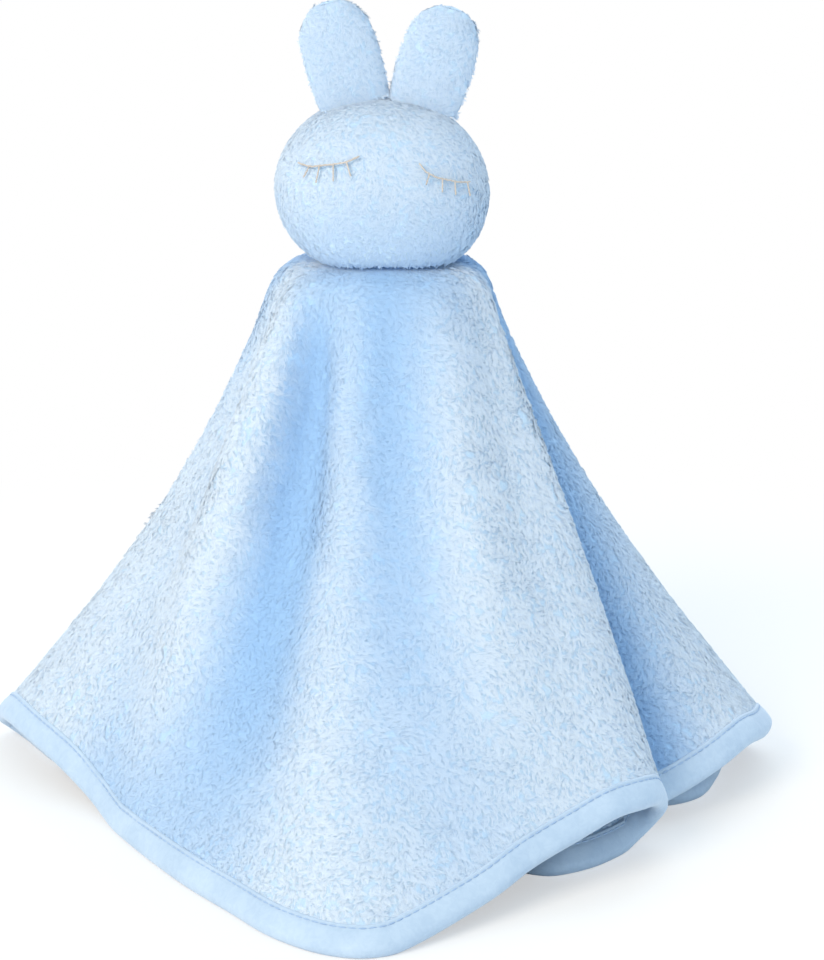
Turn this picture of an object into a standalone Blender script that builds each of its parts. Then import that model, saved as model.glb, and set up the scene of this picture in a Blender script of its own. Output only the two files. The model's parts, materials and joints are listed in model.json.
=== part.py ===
"""A comfort blanket lovey: a small padded rabbit head on a square of plush that is draped as a tent.

Metres, +Z up, the face towards -Y. The blanket's middle lies over a low dome, and the head sits on that dome.
Everything is placed from the centre of the neck, and one empty carries that centre to its place over the floor.
"""

import math

import bmesh
import bpy
import numpy as np
from mathutils import Matrix, Vector

# Blanket: one square of plush with a tape folded over its edge
BLANKET_SIDE = 0.400
CLOTH_THICKNESS = 0.0044
TAPE_THICKNESS = 0.0008
TAPE_COVER = 0.0062
TAPE_FOLD_ROOM = 0.0008
FLOOR_FLAT_DEPTH = 0.0005
CLEARANCE = 0.0003

# The dome at the blanket's middle, over which the head leans
DOME_RADIUS = 0.100
DOME_TOP = 0.183
NECK_RADIUS = 0.0345
CUT_OVERRUN = 0.010

# Ring of stitches between head and blanket
STITCH_RING_RADIUS = 0.016
STITCH_THREAD = 0.0009
STITCH_COUNT = 20
STITCH_SIDES = 6

# Head
HEAD_WIDTH = 0.075
HEAD_DEPTH = 0.057
HEAD_HEIGHT = 0.061
HEAD_SINK = 0.0100
HEAD_SQUARENESS = 2.25
HEAD_ROLL = math.radians(5)
HEAD_TURN = math.radians(4)
HEAD_PLUSH = 0.0025
BASE_PLUSH = 0.0025

# Ears
EAR_LENGTH = 0.0338
EAR_WIDTH = 0.0270
EAR_THICKNESS = 0.0095
EAR_PLUSH = 0.0016
EAR_SEAT_RADIUS = 0.0038
EAR_SEAT_CLEARANCE = 0.0005
EAR_RISE = 0.0008
EAR_LEFT_OFFSET = -0.0130
EAR_RIGHT_OFFSET = 0.0128
EAR_LEFT_LEAN = math.radians(-12)
EAR_RIGHT_LEAN = math.radians(11)

# Embroidered eyes
EYE_THREAD_WIDTH = 0.0010
EYE_THREAD_RISE = 0.0007

# Fineness of the solids
HEAD_QUARTER_COLUMNS = 9
HEAD_ROWS = 14
EAR_COLUMNS = 9
EAR_SEAT_STEPS = 3
BALL_SEGMENTS = 32
BALL_RINGS = 24

# The draped hem, station by station from the front corner towards +X.
# Each row: across, towards the front, lift off the floor and tuck at mid height, as shares of
# half the blanket's side, then the place round the neck that it hangs from, as a share of a turn.
HEM_SHARES = (
    (-0.075, 0.950, 0.000, 0.000, -0.011), (0.010, 0.945, 0.000, 0.000, 0.022),
    (0.150, 0.830, 0.035, 0.000, 0.067), (0.230, 0.750, 0.065, -0.010, 0.103),
    (0.305, 0.695, 0.090, -0.010, 0.133), (0.370, 0.645, 0.110, 0.000, 0.156),
    (0.420, 0.600, 0.110, 0.000, 0.172), (0.445, 0.545, 0.095, 0.000, 0.186),
    (0.455, 0.500, 0.065, 0.000, 0.197), (0.440, 0.470, 0.030, 0.000, 0.208),
    (0.410, 0.485, 0.005, 0.000, 0.219), (0.385, 0.525, 0.000, 0.000, 0.231),
    (0.330, 0.585, 0.000, 0.000, 0.239), (0.265, 0.615, 0.000, 0.000, 0.244),
    (0.210, 0.575, 0.000, 0.000, 0.253), (0.215, 0.490, 0.000, 0.000, 0.261),
    (0.315, 0.430, 0.010, 0.000, 0.269), (0.415, 0.405, 0.025, 0.000, 0.278),
    (0.495, 0.370, 0.050, 0.000, 0.286), (0.565, 0.315, 0.075, 0.000, 0.294),
    (0.620, 0.240, 0.090, 0.000, 0.303), (0.655, 0.155, 0.075, 0.000, 0.311),
    (0.670, 0.075, 0.060, 0.000, 0.319), (0.670, 0.015, 0.035, 0.000, 0.325),
    (0.640, -0.015, 0.010, 0.000, 0.333), (0.605, 0.020, 0.000, 0.000, 0.339),
    (0.585, 0.100, 0.000, 0.000, 0.344), (0.565, 0.180, 0.000, 0.000, 0.350),
    (0.535, 0.255, 0.000, 0.000, 0.356), (0.475, 0.290, 0.000, 0.000, 0.361),
    (0.425, 0.250, 0.000, 0.000, 0.367), (0.420, 0.160, 0.000, 0.000, 0.372),
    (0.455, -0.050, 0.000, 0.000, 0.383), (0.500, -0.275, 0.000, 0.000, 0.400),
    (0.515, -0.450, 0.015, 0.000, 0.411), (0.490, -0.565, 0.030, 0.000, 0.422),
    (0.420, -0.575, 0.015, 0.000, 0.431), (0.310, -0.485, 0.000, 0.000, 0.442),
    (0.220, -0.460, 0.000, 0.000, 0.453), (0.180, -0.560, 0.000, 0.000, 0.464),
    (0.155, -0.790, 0.000, 0.000, 0.481), (0.085, -0.895, 0.000, 0.000, 0.492),
    (0.005, -0.890, 0.000, 0.000, 0.503), (-0.060, -0.760, 0.000, 0.000, 0.514),
    (-0.090, -0.540, 0.000, 0.000, 0.528), (-0.140, -0.450, 0.000, 0.000, 0.539),
    (-0.210, -0.515, 0.000, 0.000, 0.550), (-0.260, -0.655, 0.025, 0.000, 0.564),
    (-0.290, -0.690, 0.025, 0.000, 0.569), (-0.330, -0.685, 0.015, 0.000, 0.575),
    (-0.355, -0.610, 0.000, 0.000, 0.583), (-0.340, -0.495, 0.000, 0.000, 0.592),
    (-0.360, -0.430, 0.000, 0.000, 0.600), (-0.400, -0.410, 0.000, 0.000, 0.608),
    (-0.435, -0.445, 0.000, 0.000, 0.617), (-0.450, -0.540, 0.000, 0.000, 0.625),
    (-0.470, -0.690, 0.000, 0.000, 0.633), (-0.495, -0.740, 0.000, 0.000, 0.642),
    (-0.540, -0.745, 0.000, 0.000, 0.650), (-0.575, -0.685, 0.000, 0.000, 0.658),
    (-0.580, -0.450, 0.000, 0.000, 0.675), (-0.545, -0.200, 0.000, 0.000, 0.694),
    (-0.505, -0.020, 0.000, 0.000, 0.711), (-0.495, 0.065, 0.000, 0.000, 0.722),
    (-0.525, 0.100, 0.000, 0.000, 0.733), (-0.570, 0.070, 0.000, 0.000, 0.744),
    (-0.605, 0.005, 0.000, 0.000, 0.753), (-0.640, -0.065, 0.000, 0.000, 0.761),
    (-0.670, -0.095, 0.010, 0.000, 0.769), (-0.680, -0.065, 0.030, 0.000, 0.778),
    (-0.670, -0.010, 0.055, 0.000, 0.786), (-0.650, 0.060, 0.070, 0.000, 0.797),
    (-0.610, 0.135, 0.065, 0.000, 0.811), (-0.550, 0.230, 0.050, 0.000, 0.828),
    (-0.490, 0.315, 0.020, -0.015, 0.839), (-0.440, 0.420, 0.000, -0.020, 0.858),
    (-0.380, 0.540, 0.000, 0.015, 0.881), (-0.310, 0.665, 0.000, 0.045, 0.908),
    (-0.240, 0.770, 0.000, 0.035, 0.936), (-0.165, 0.880, 0.000, 0.010, 0.964),
)

# How far down the drape each row of points lies, and how many times the folds are evened there
DRAPE_ROW_SHARES = ((0.06, 20), (0.18, 14), (0.38, 9), (0.62, 4), (0.84, 1))

# How much of the drape's slope comes late, and where the tucks are deepest
FLARE_SHARE = 0.27
TUCK_PEAK_SHARE = 0.8

# Outline of an ear from its seat to its tip: shares of length, width and thickness
EAR_SHARES = (
    (0.00, 0.92, 0.80), (0.12, 0.96, 0.90), (0.28, 0.99, 0.97), (0.45, 1.00, 1.00), (0.60, 0.97, 0.98),
    (0.73, 0.88, 0.90), (0.84, 0.73, 0.78), (0.92, 0.54, 0.62), (0.975, 0.31, 0.42), (1.00, 0.00, 0.00),
)

# Closed lids and lashes: shares of half the head's width and height
LEFT_LID_SHARES = ((-0.74, 0.27), (-0.66, 0.285), (-0.51, 0.34), (-0.40, 0.375), (-0.285, 0.45))
LEFT_LASH_SHARES = (((-0.71, 0.275), (-0.76, 0.14)), ((-0.61, 0.30), (-0.645, 0.11)), ((-0.50, 0.34), (-0.50, 0.16)),
                    ((-0.38, 0.385), (-0.35, 0.235)))
RIGHT_LID_SHARES = ((0.25, 0.43), (0.31, 0.345), (0.41, 0.29), (0.52, 0.262), (0.62, 0.238), (0.73, 0.23))
RIGHT_LASH_SHARES = (((0.34, 0.32), (0.32, 0.20)), ((0.48, 0.272), (0.475, 0.13)), ((0.59, 0.245), (0.60, 0.095)),
                     ((0.70, 0.232), (0.74, 0.075)))

PIVOT_HEIGHT = DOME_TOP - DOME_RADIUS
UP = Vector((0, 0, 1))


def clear_scene():
    for obj in list(bpy.data.objects):
        bpy.data.objects.remove(obj, do_unlink=True)


def make_material(name, colour, roughness, sheen=0):
    material = bpy.data.materials.new(name)
    material.use_nodes = True
    shader = material.node_tree.nodes["Principled BSDF"]
    shader.inputs["Base Color"].default_value = (*colour, 1)
    shader.inputs["Roughness"].default_value = roughness
    shader.inputs["Metallic"].default_value = 0
    shader.inputs["Sheen Weight"].default_value = sheen
    return material


def blue_plush():
    return make_material("blue_plush", (0.60, 0.78, 0.93), 0.95, sheen=0.4)


def blue_tape():
    return make_material("blue_tape", (0.62, 0.77, 0.90), 0.70)


def eye_thread():
    return make_material("eye_thread", (0.72, 0.66, 0.60), 0.60)


def seam_thread():
    return make_material("seam_thread", (0.58, 0.73, 0.87), 0.65)


def fibre_fill():
    return make_material("fibre_fill", (0.90, 0.91, 0.92), 1)


def solid_mesh(name, grids):
    """One closed mesh from grids of points. A grid is (rows, loop, split): each row is joined to the next, loop
    closes every row on itself, and split says which way the four-sided faces are split into triangles."""
    bm = bmesh.new()
    for rows, loop, split in grids:
        verts = [[bm.verts.new(point) for point in row] for row in rows]
        for upper, lower in zip(verts, verts[1:]):
            count = len(upper)
            for column in range(count if loop else count - 1):
                after = (column + 1) % count
                corners = (upper[column], upper[after], lower[after], lower[column])
                first, second = ((0, 1, 2), (0, 2, 3)) if split else ((0, 1, 3), (1, 2, 3))
                bm.faces.new([corners[index] for index in first])
                bm.faces.new([corners[index] for index in second])
    bmesh.ops.remove_doubles(bm, verts=bm.verts, dist=CLEARANCE * CLEARANCE)
    bmesh.ops.dissolve_degenerate(bm, edges=bm.edges, dist=CLEARANCE * CLEARANCE)
    bmesh.ops.recalc_face_normals(bm, faces=bm.faces)
    mesh = bpy.data.meshes.new(name)
    bm.to_mesh(mesh)
    bm.free()
    return mesh


def add_empty(name, place, parent=None):
    empty = bpy.data.objects.new(name, None)
    empty.location = place - origin_of(parent)
    empty.parent = parent
    empty["neck_place"] = tuple(place)
    bpy.context.scene.collection.objects.link(empty)
    return empty


def origin_of(obj):
    """Where an empty stands, measured from the centre of the neck."""
    return Vector(obj["neck_place"]) if obj else Vector()


def add_piece(mesh, material, parent):
    """A sub-part whose points are measured from the centre of the neck, with its origin at its parent's."""
    mesh.transform(Matrix.Translation(-origin_of(parent)))
    mesh.materials.append(material)
    piece = bpy.data.objects.new(mesh.name, mesh)
    piece.parent = parent
    bpy.context.scene.collection.objects.link(piece)
    return piece


def add_cutter(mesh, parent):
    cutter = add_piece(mesh, make_material(mesh.name, (1, 1, 1), 1), parent)
    cutter.hide_render = True
    cutter.display_type = "WIRE"
    return cutter


def cut(piece, cutter, operation="DIFFERENCE"):
    modifier = piece.modifiers.new(cutter.name, "BOOLEAN")
    modifier.operation = operation
    modifier.solver = "EXACT"
    modifier.object = cutter


# Blanket


def hem_stations():
    """Arrays of hem points, tucks and neck bearings, from the table. Zero lift means that the tape lies on the floor."""
    shares = np.array(HEM_SHARES)
    half = BLANKET_SIDE / 2
    rest = tape_half_depth() - FLOOR_FLAT_DEPTH
    points = np.column_stack((shares[:, 0] * half, -shares[:, 1] * half, rest + shares[:, 2] * half))
    return points, shares[:, 3] * half, shares[:, 4] * math.tau


def tape_half_depth():
    return CLOTH_THICKNESS / 2 + CLEARANCE + TAPE_THICKNESS


def neck_offset():
    """From the middle of the hem's outline to the neck, so that the finished part is centred over its origin."""
    points = hem_stations()[0]
    middle = (points.min(axis=0) + points.max(axis=0)) / 2
    return Vector((-middle[0], -middle[1], 0))


def mid_dome_radius():
    return DOME_RADIUS - CLOTH_THICKNESS / 2


def dome_ring(bearings, radius):
    height = PIVOT_HEIGHT + math.sqrt(mid_dome_radius() ** 2 - radius**2)
    return np.column_stack((radius * np.sin(bearings), -radius * np.cos(bearings), np.full(len(bearings), height)))


def drape_row(neck, hem, tucks, down):
    """Points a given share of the way from the neck to the hem, with the late flare and the mid-height tucks."""
    across = (1 - FLARE_SHARE) * down + FLARE_SHARE * down**2
    row = neck + (hem - neck) * np.array((across, across, down))
    away = row[:, :2] / np.linalg.norm(row[:, :2], axis=1, keepdims=True)
    row[:, :2] -= away * (tucks * math.sin(math.pi * down**TUCK_PEAK_SHARE))[:, None]
    return row


def evened(line, rounds):
    """The closed line with each point drawn towards its neighbours a number of times, which opens its tight turns."""
    for _ in range(rounds):
        line = (np.roll(line, 1, axis=0) + 2 * line + np.roll(line, -1, axis=0)) / 4
    return line


def unit(vectors):
    return vectors / np.linalg.norm(vectors, axis=1, keepdims=True)


def outward(row, above, below):
    """Unit normals of a row, from its own run and from the rows above and below it."""
    run = np.roll(row, -1, axis=0) - np.roll(row, 1, axis=0)
    return unit(np.cross(unit(below - above), unit(run)))


def drape():
    """Rows of mid-cloth points from the stitch ring down to the hem, their normals, and the hem's edge directions."""
    hem, tucks, bearings = hem_stations()
    neck = dome_ring(bearings, NECK_RADIUS)
    rows = [dome_ring(bearings, STITCH_RING_RADIUS), neck]
    for down, rounds in DRAPE_ROW_SHARES:
        rows.append(drape_row(neck, evened(hem, rounds), tucks, down))
    rows[1] = (rows[0] + 2 * neck + rows[2]) / 4
    rows.append(hem)
    crown = np.tile((0, 0, PIVOT_HEIGHT + mid_dome_radius()), (len(hem), 1))
    above = [crown] + rows[:-1]
    below = rows[1:] + [hem]
    normals = [outward(*three) for three in zip(rows, above, below)]
    run = unit(np.roll(hem, -1, axis=0) - np.roll(hem, 1, axis=0))
    edge = unit(np.cross(run, normals[-1]))
    rows.insert(-1, hem - edge * TAPE_COVER)
    normals.insert(-1, normals[-1])
    return rows, normals, edge


def build_cloth(parent):
    rows, normals, _ = drape()
    half = CLOTH_THICKNESS / 2
    skins = []
    for side in (1, -1):
        crown = np.tile((0, 0, PIVOT_HEIGHT + mid_dome_radius() + side * half), (len(rows[0]), 1))
        skins.append([crown] + [row + normal * side * half for row, normal in zip(rows, normals)])
    rim = [skins[0][-1], skins[1][-1]]
    mesh = solid_mesh("blanket_cloth", [(skins[0], True, True), (skins[1], True, True), (rim, True, False)])
    return add_piece(mesh, blue_plush(), parent)


def tape_profile():
    """The folded tape in section: distance past the hem, and distance out from mid cloth."""
    inner = CLOTH_THICKNESS / 2 + CLEARANCE
    outer = tape_half_depth()
    corner = outer * math.sin(math.pi / 4)
    over = [(-TAPE_COVER, outer), (0, outer), (corner, corner), (outer, 0)]
    under = [(past, -out) for past, out in reversed(over[:-1])]
    inside = [(-TAPE_COVER, -inner), (0, -inner), (TAPE_FOLD_ROOM, -inner / 2)]
    return over + under + inside + [(past, -out) for past, out in reversed(inside)]


def build_tape(parent):
    rows, normals, edge = drape()
    lines = [rows[-1] + edge * past + normals[-1] * out for past, out in tape_profile()]
    pasts = [past for past, _ in tape_profile()]
    grids = []
    for index, line in enumerate(lines):
        after = (index + 1) % len(lines)
        grids.append(([line, lines[after]], True, pasts[index] <= pasts[after]))
    tape = add_piece(solid_mesh("edge_binding", grids), blue_tape(), parent)
    cut(tape, floor_cutter(parent))
    return tape


def floor_cutter(parent):
    bm = bmesh.new()
    bmesh.ops.create_cube(bm, size=1)
    size = (BLANKET_SIDE + CUT_OVERRUN, BLANKET_SIDE + CUT_OVERRUN, CUT_OVERRUN)
    bmesh.ops.scale(bm, vec=size, verts=bm.verts)
    bmesh.ops.translate(bm, vec=-UP * CUT_OVERRUN / 2, verts=bm.verts)
    mesh = bpy.data.meshes.new("floor_cutter")
    bm.to_mesh(mesh)
    bm.free()
    return add_cutter(mesh, parent)


# Stitches


def build_stitches(parent):
    """A ring of whipped stitches that lies on the dome: a tube that swells once for each stitch."""
    ring_radius = STITCH_RING_RADIUS
    half = STITCH_THREAD / 2
    layer = DOME_RADIUS + CLEARANCE + half
    middle = PIVOT_HEIGHT + math.sqrt(layer**2 - ring_radius**2)
    slant = math.asin(ring_radius / layer)
    rows = []
    for step in range(2 * STITCH_COUNT):
        turn = math.tau * step / (2 * STITCH_COUNT)
        width = STITCH_THREAD if step % 2 else half
        row = []
        for side in range(STITCH_SIDES):
            angle = math.tau * side / STITCH_SIDES
            out = width * math.cos(angle)
            lift = half * math.sin(angle)
            radius = ring_radius + out * math.cos(slant) + lift * math.sin(slant)
            height = middle - out * math.sin(slant) + lift * math.cos(slant)
            row.append((radius * math.sin(turn), -radius * math.cos(turn), height))
        rows.append(row)
    rows.append(rows[0])
    return add_piece(solid_mesh("neck_stitches", [(rows, True, True)]), seam_thread(), parent)


# Head


def head_frame():
    """The head's own frame at its centre, so high that the dome stands HEAD_SINK deep in its underside."""
    centre = Matrix.Translation(UP * (PIVOT_HEIGHT + base_layer(0) + HEAD_HEIGHT / 2 - HEAD_SINK))
    return centre @ Matrix.Rotation(HEAD_TURN, 4, "Z") @ Matrix.Rotation(HEAD_ROLL, 4, "Y")


def head_point(azimuth, polar, inset):
    """A point on the head's rounded-square form, drawn in by inset. Azimuth 0 looks to the front, polar 0 up."""
    direction = (
        math.sin(polar) * math.sin(azimuth),
        -math.sin(polar) * math.cos(azimuth),
        math.cos(polar),
    )
    reach = sum(abs(part) ** HEAD_SQUARENESS for part in direction) ** (-1 / HEAD_SQUARENESS)
    sizes = (HEAD_WIDTH, HEAD_DEPTH, HEAD_HEIGHT)
    return Vector([part * reach * (size / 2 - inset) for part, size in zip(direction, sizes)])


def head_rows(start, end, columns, inset):
    rows = []
    for row in range(HEAD_ROWS + 1):
        polar = math.pi * row / HEAD_ROWS
        turns = [start + (end - start) * column / columns for column in range(columns + 1)]
        rows.append([head_point(turn, polar, inset) for turn in turns])
    return rows


def shell_mesh(name, outer, inner):
    """A closed shell between two open skins of the same grid."""
    first = [[row[0] for row in skin] for skin in (outer, inner)]
    last = [[row[-1] for row in skin] for skin in (outer, inner)]
    top = [outer[0], inner[0]]
    bottom = [outer[-1], inner[-1]]
    grids = [(rows, False, True) for rows in (outer, inner, first, last, top, bottom)]
    return solid_mesh(name, grids)


def build_head_panel(name, side, front, parent, base_ball, seats):
    """A quarter of the head's cover. Side is -1 or 1 along X, front is -1 for the face and 1 for the back."""
    middle = 0 if front < 0 else math.pi
    start = side * math.pi / 2
    skins = [head_rows(start, middle * side, HEAD_QUARTER_COLUMNS, inset) for inset in (0, HEAD_PLUSH)]
    mesh = shell_mesh(name, *skins)
    mesh.transform(Matrix.Translation(Vector((side, front, 0)) * CLEARANCE / 2))
    mesh.transform(head_frame())
    panel = add_piece(mesh, blue_plush(), parent)
    for cutter in (base_ball, *seats):
        cut(panel, cutter)
    return panel


def head_core_mesh(name):
    columns = 4 * HEAD_QUARTER_COLUMNS
    rows = head_rows(0, math.tau, columns, HEAD_PLUSH + CLEARANCE)
    mesh = solid_mesh(name, [([row[:-1] for row in rows], True, True)])
    mesh.transform(head_frame())
    return mesh


def base_layer(count):
    """Radius of the layers that share the dome's centre: 0 the head's underside, 1 over the base panel, 2 the fill."""
    underside = DOME_RADIUS + STITCH_THREAD + 2 * CLEARANCE
    return underside + (0, BASE_PLUSH, BASE_PLUSH + CLEARANCE)[count]


def ball_cutter(name, radius, parent):
    bm = bmesh.new()
    bmesh.ops.create_uvsphere(bm, u_segments=BALL_SEGMENTS, v_segments=BALL_RINGS, radius=radius)
    bmesh.ops.translate(bm, vec=UP * PIVOT_HEIGHT, verts=bm.verts)
    mesh = bpy.data.meshes.new(name)
    bm.to_mesh(mesh)
    bm.free()
    return add_cutter(mesh, parent)


def build_base_panel(parent, under_ball, over_ball):
    panel = add_piece(head_core_mesh("head_base_panel"), blue_plush(), parent)
    cut(panel, over_ball, "INTERSECT")
    cut(panel, under_ball)
    return panel


def build_head_fill(parent, fill_ball, seats):
    fill = add_piece(head_core_mesh("head_stuffing"), fibre_fill(), parent)
    for cutter in (fill_ball, *seats):
        cut(fill, cutter)
    return fill


# Ears


def ear_frame(offset, lean):
    """The ear's own frame: X along the line that it hinges on, Z towards its tip."""
    polar = math.atan2(abs(offset) / HEAD_WIDTH, math.sqrt(1 / 4 - (offset / HEAD_WIDTH) ** 2))
    foot = head_point(math.copysign(math.pi / 2, offset), polar, 0)
    foot += foot.normalized() * EAR_RISE
    place = head_frame() @ foot
    turn = Matrix.Rotation(HEAD_TURN, 4, "Z") @ Matrix.Rotation(lean, 4, "Y")
    return Matrix.Translation(place) @ turn


def ear_sections(inset):
    """Rows of (height, half width, half thickness) of an ear drawn in by inset, round seat first."""
    seat = EAR_SEAT_RADIUS - inset
    seat_width = EAR_WIDTH / 2 * EAR_SHARES[0][1] - inset
    sections = []
    for step in range(EAR_SEAT_STEPS):
        angle = math.pi / 2 * (1 - step / EAR_SEAT_STEPS)
        sections.append((-seat * math.sin(angle), seat_width, seat * math.cos(angle)))
    length = EAR_LENGTH - inset
    for along, width, thickness in EAR_SHARES:
        half_width = max(EAR_WIDTH / 2 * width - inset, 0)
        half_depth = max(EAR_THICKNESS / 2 * thickness - inset, 0)
        sections.append((length * along, half_width, half_depth))
    return sections


def ear_rows(inset, front):
    """Rows of points round half of an ear: front is -1 for the face side and 1 for the back."""
    rows = []
    for height, width, depth in ear_sections(inset):
        turns = [math.pi * column / EAR_COLUMNS for column in range(EAR_COLUMNS + 1)]
        rows.append([(-width * math.cos(turn), front * depth * math.sin(turn), height) for turn in turns])
    return rows


def build_ear_panel(name, front, frame, parent):
    mesh = shell_mesh(name, ear_rows(0, front), ear_rows(EAR_PLUSH, front))
    mesh.transform(Matrix.Translation(Vector((0, front, 0)) * CLEARANCE / 2))
    mesh.transform(frame)
    return add_piece(mesh, blue_plush(), parent)


def build_ear_fill(name, frame, parent):
    inset = EAR_PLUSH + CLEARANCE
    front = ear_rows(inset, -1)
    back = ear_rows(inset, 1)
    rows = [one + list(reversed(other))[1:-1] for one, other in zip(front, back)]
    mesh = solid_mesh(name, [(rows, True, True)])
    mesh.transform(frame)
    return add_piece(mesh, fibre_fill(), parent)


def ear_seat_cutter(name, frame, parent):
    """A round bar along the ear's hinge line, which cuts the slot that the ear's foot turns in."""
    radius = EAR_SEAT_RADIUS + EAR_SEAT_CLEARANCE
    length = EAR_WIDTH * EAR_SHARES[0][1] + 2 * EAR_SEAT_CLEARANCE
    bm = bmesh.new()
    bmesh.ops.create_cone(bm, cap_ends=True, segments=BALL_RINGS, radius1=radius, radius2=radius, depth=length)
    bmesh.ops.transform(bm, matrix=frame @ Matrix.Rotation(math.pi / 2, 4, "Y"), verts=bm.verts)
    mesh = bpy.data.meshes.new(name)
    bm.to_mesh(mesh)
    bm.free()
    return add_cutter(mesh, parent)


def build_ear(side, frame, head):
    pivot = add_empty(f"ear_{side}_hinge", frame.translation, head)
    build_ear_panel(f"ear_{side}_front", -1, frame, pivot)
    build_ear_panel(f"ear_{side}_back", 1, frame, pivot)
    build_ear_fill(f"ear_{side}_filling", frame, pivot)


# Eyes


def comb_patches(lid, lashes):
    """Four-sided patches, as points across and up the face: the lid line cut into short lengths, then its lashes."""
    half = EYE_THREAD_WIDTH / 2
    line = [Vector(point) for point in lid]
    feet = [(root[0] - half, root[0] + half) for root, _ in lashes]
    free = [mid.x for one, other in zip(line, line[1:]) for mid in (one, one.lerp(other, 1 / 2))] + [line[-1].x]
    places = [at for at in free if all(abs(at - (low + high) / 2) > EYE_THREAD_WIDTH for low, high in feet)]
    places = sorted(places + [at for foot in feet for at in foot])
    upper, lower = ([height_on(line, at) + Vector((0, side)) for at in places] for side in (half, -half))
    patches = [(lower[n], lower[n + 1], upper[n + 1], upper[n]) for n in range(len(places) - 1)]
    for (_, end), (low, high) in zip(lashes, feet):
        side = Vector((half, 0))
        roots = [height_on(line, at) - Vector((0, half)) for at in (low, high)]
        ends = [Vector(end) - side, Vector(end) + side]
        middles = [root.lerp(tip, 1 / 2) for root, tip in zip(roots, ends)]
        patches += [(middles[0], middles[1], roots[1], roots[0]), (ends[0], ends[1], middles[1], middles[0])]
    return patches


def height_on(line, across):
    """The point of a left-to-right line that stands at the given place across."""
    for one, other in zip(line, line[1:]):
        if one.x <= across <= other.x:
            return one.lerp(other, (across - one.x) / (other.x - one.x))
    return line[-1]


def face_point(across, up, rise):
    """The point of the face at a place across and up, raised off it along the surface's own normal."""
    power = HEAD_SQUARENESS
    sizes = (HEAD_WIDTH / 2, HEAD_DEPTH / 2, HEAD_HEIGHT / 2)
    rest = 1 - abs(across / sizes[0]) ** power - abs(up / sizes[2]) ** power
    point = Vector((across, -sizes[1] * rest ** (1 / power), up))
    slope = [math.copysign(abs(part / size) ** (power - 1) / size, part) for part, size in zip(point, sizes)]
    return point + Vector(slope).normalized() * rise


def build_eye(name, lid_shares, lash_shares, parent):
    width, height = HEAD_WIDTH / 2, HEAD_HEIGHT / 2
    lid = [(across * width, up * height) for across, up in lid_shares]
    lashes = [[(across * width, up * height) for across, up in lash] for lash in lash_shares]
    bm = bmesh.new()
    for patch in comb_patches(lid, lashes):
        bm.faces.new([bm.verts.new((point.x, 0, point.y)) for point in patch])
    bmesh.ops.remove_doubles(bm, verts=bm.verts, dist=CLEARANCE * CLEARANCE)
    under = list(bm.faces)
    made = bmesh.ops.extrude_face_region(bm, geom=under, use_keep_orig=True)
    raised = {item for item in made["geom"] if isinstance(item, bmesh.types.BMVert)}
    base = CLEARANCE + CLEARANCE / 2
    for vert in bm.verts:
        rise = base + EYE_THREAD_RISE if vert in raised else base
        vert.co = face_point(vert.co.x, vert.co.z, rise)
    if bm.calc_volume(signed=True) < 0:
        bmesh.ops.reverse_faces(bm, faces=bm.faces)
    mesh = bpy.data.meshes.new(name)
    bm.to_mesh(mesh)
    bm.free()
    mesh.transform(head_frame())
    return add_piece(mesh, eye_thread(), parent)


def build_head(parent):
    balls = [
        ball_cutter(name, base_layer(count), parent)
        for count, name in enumerate(("base_under_cutter", "base_over_cutter", "fill_under_cutter"))
    ]
    frames = {"left": ear_frame(EAR_LEFT_OFFSET, EAR_LEFT_LEAN), "right": ear_frame(EAR_RIGHT_OFFSET, EAR_RIGHT_LEAN)}
    seats = [ear_seat_cutter(f"ear_{side}_seat_cutter", frame, parent) for side, frame in frames.items()]
    for face, front in (("front", -1), ("back", 1)):
        for side, sign in (("left", -1), ("right", 1)):
            build_head_panel(f"head_{face}_{side}", sign, front, parent, balls[0], seats)
    build_base_panel(parent, balls[0], balls[1])
    build_head_fill(parent, balls[2], seats)
    for side, frame in frames.items():
        build_ear(side, frame, parent)
    build_eye("eye_left_embroidery", LEFT_LID_SHARES, LEFT_LASH_SHARES, parent)
    build_eye("eye_right_embroidery", RIGHT_LID_SHARES, RIGHT_LASH_SHARES, parent)


def main():
    clear_scene()
    neck = add_empty("neck_centre", Vector())
    neck.location = neck_offset()
    build_cloth(neck)
    build_tape(neck)
    tilt = add_empty("head_tilt_pivot", UP * PIVOT_HEIGHT, neck)
    build_stitches(tilt)
    nod = add_empty("head_nod_pivot", UP * PIVOT_HEIGHT, tilt)
    build_head(nod)


main()
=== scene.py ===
"""The looks of a comfort blanket lovey: draped plush, binding, padded head and ears, and embroidery.

Every length is in metres in the frame's own axes: +Z up, the face towards -Y, +X at the viewer's right.
"""

import json
import logging
import math
from dataclasses import dataclass, field
from enum import Enum

import bmesh
import bpy
import numpy as np
from mathutils import Matrix, Vector


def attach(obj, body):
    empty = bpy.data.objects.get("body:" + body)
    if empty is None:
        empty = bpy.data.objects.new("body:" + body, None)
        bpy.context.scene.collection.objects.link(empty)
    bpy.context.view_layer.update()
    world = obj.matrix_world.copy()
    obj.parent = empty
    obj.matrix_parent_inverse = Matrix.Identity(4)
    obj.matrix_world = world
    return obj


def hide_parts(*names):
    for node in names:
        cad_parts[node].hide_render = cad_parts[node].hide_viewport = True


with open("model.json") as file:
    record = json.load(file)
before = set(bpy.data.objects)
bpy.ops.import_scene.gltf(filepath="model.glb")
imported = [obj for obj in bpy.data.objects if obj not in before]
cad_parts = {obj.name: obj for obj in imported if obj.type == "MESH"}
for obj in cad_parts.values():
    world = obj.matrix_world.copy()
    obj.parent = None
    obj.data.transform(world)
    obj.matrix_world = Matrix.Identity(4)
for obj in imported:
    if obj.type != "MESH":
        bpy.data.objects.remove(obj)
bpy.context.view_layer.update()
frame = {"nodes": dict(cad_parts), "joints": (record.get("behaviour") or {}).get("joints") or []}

MM = 0.001
TAU = math.tau
Array = np.ndarray
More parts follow.
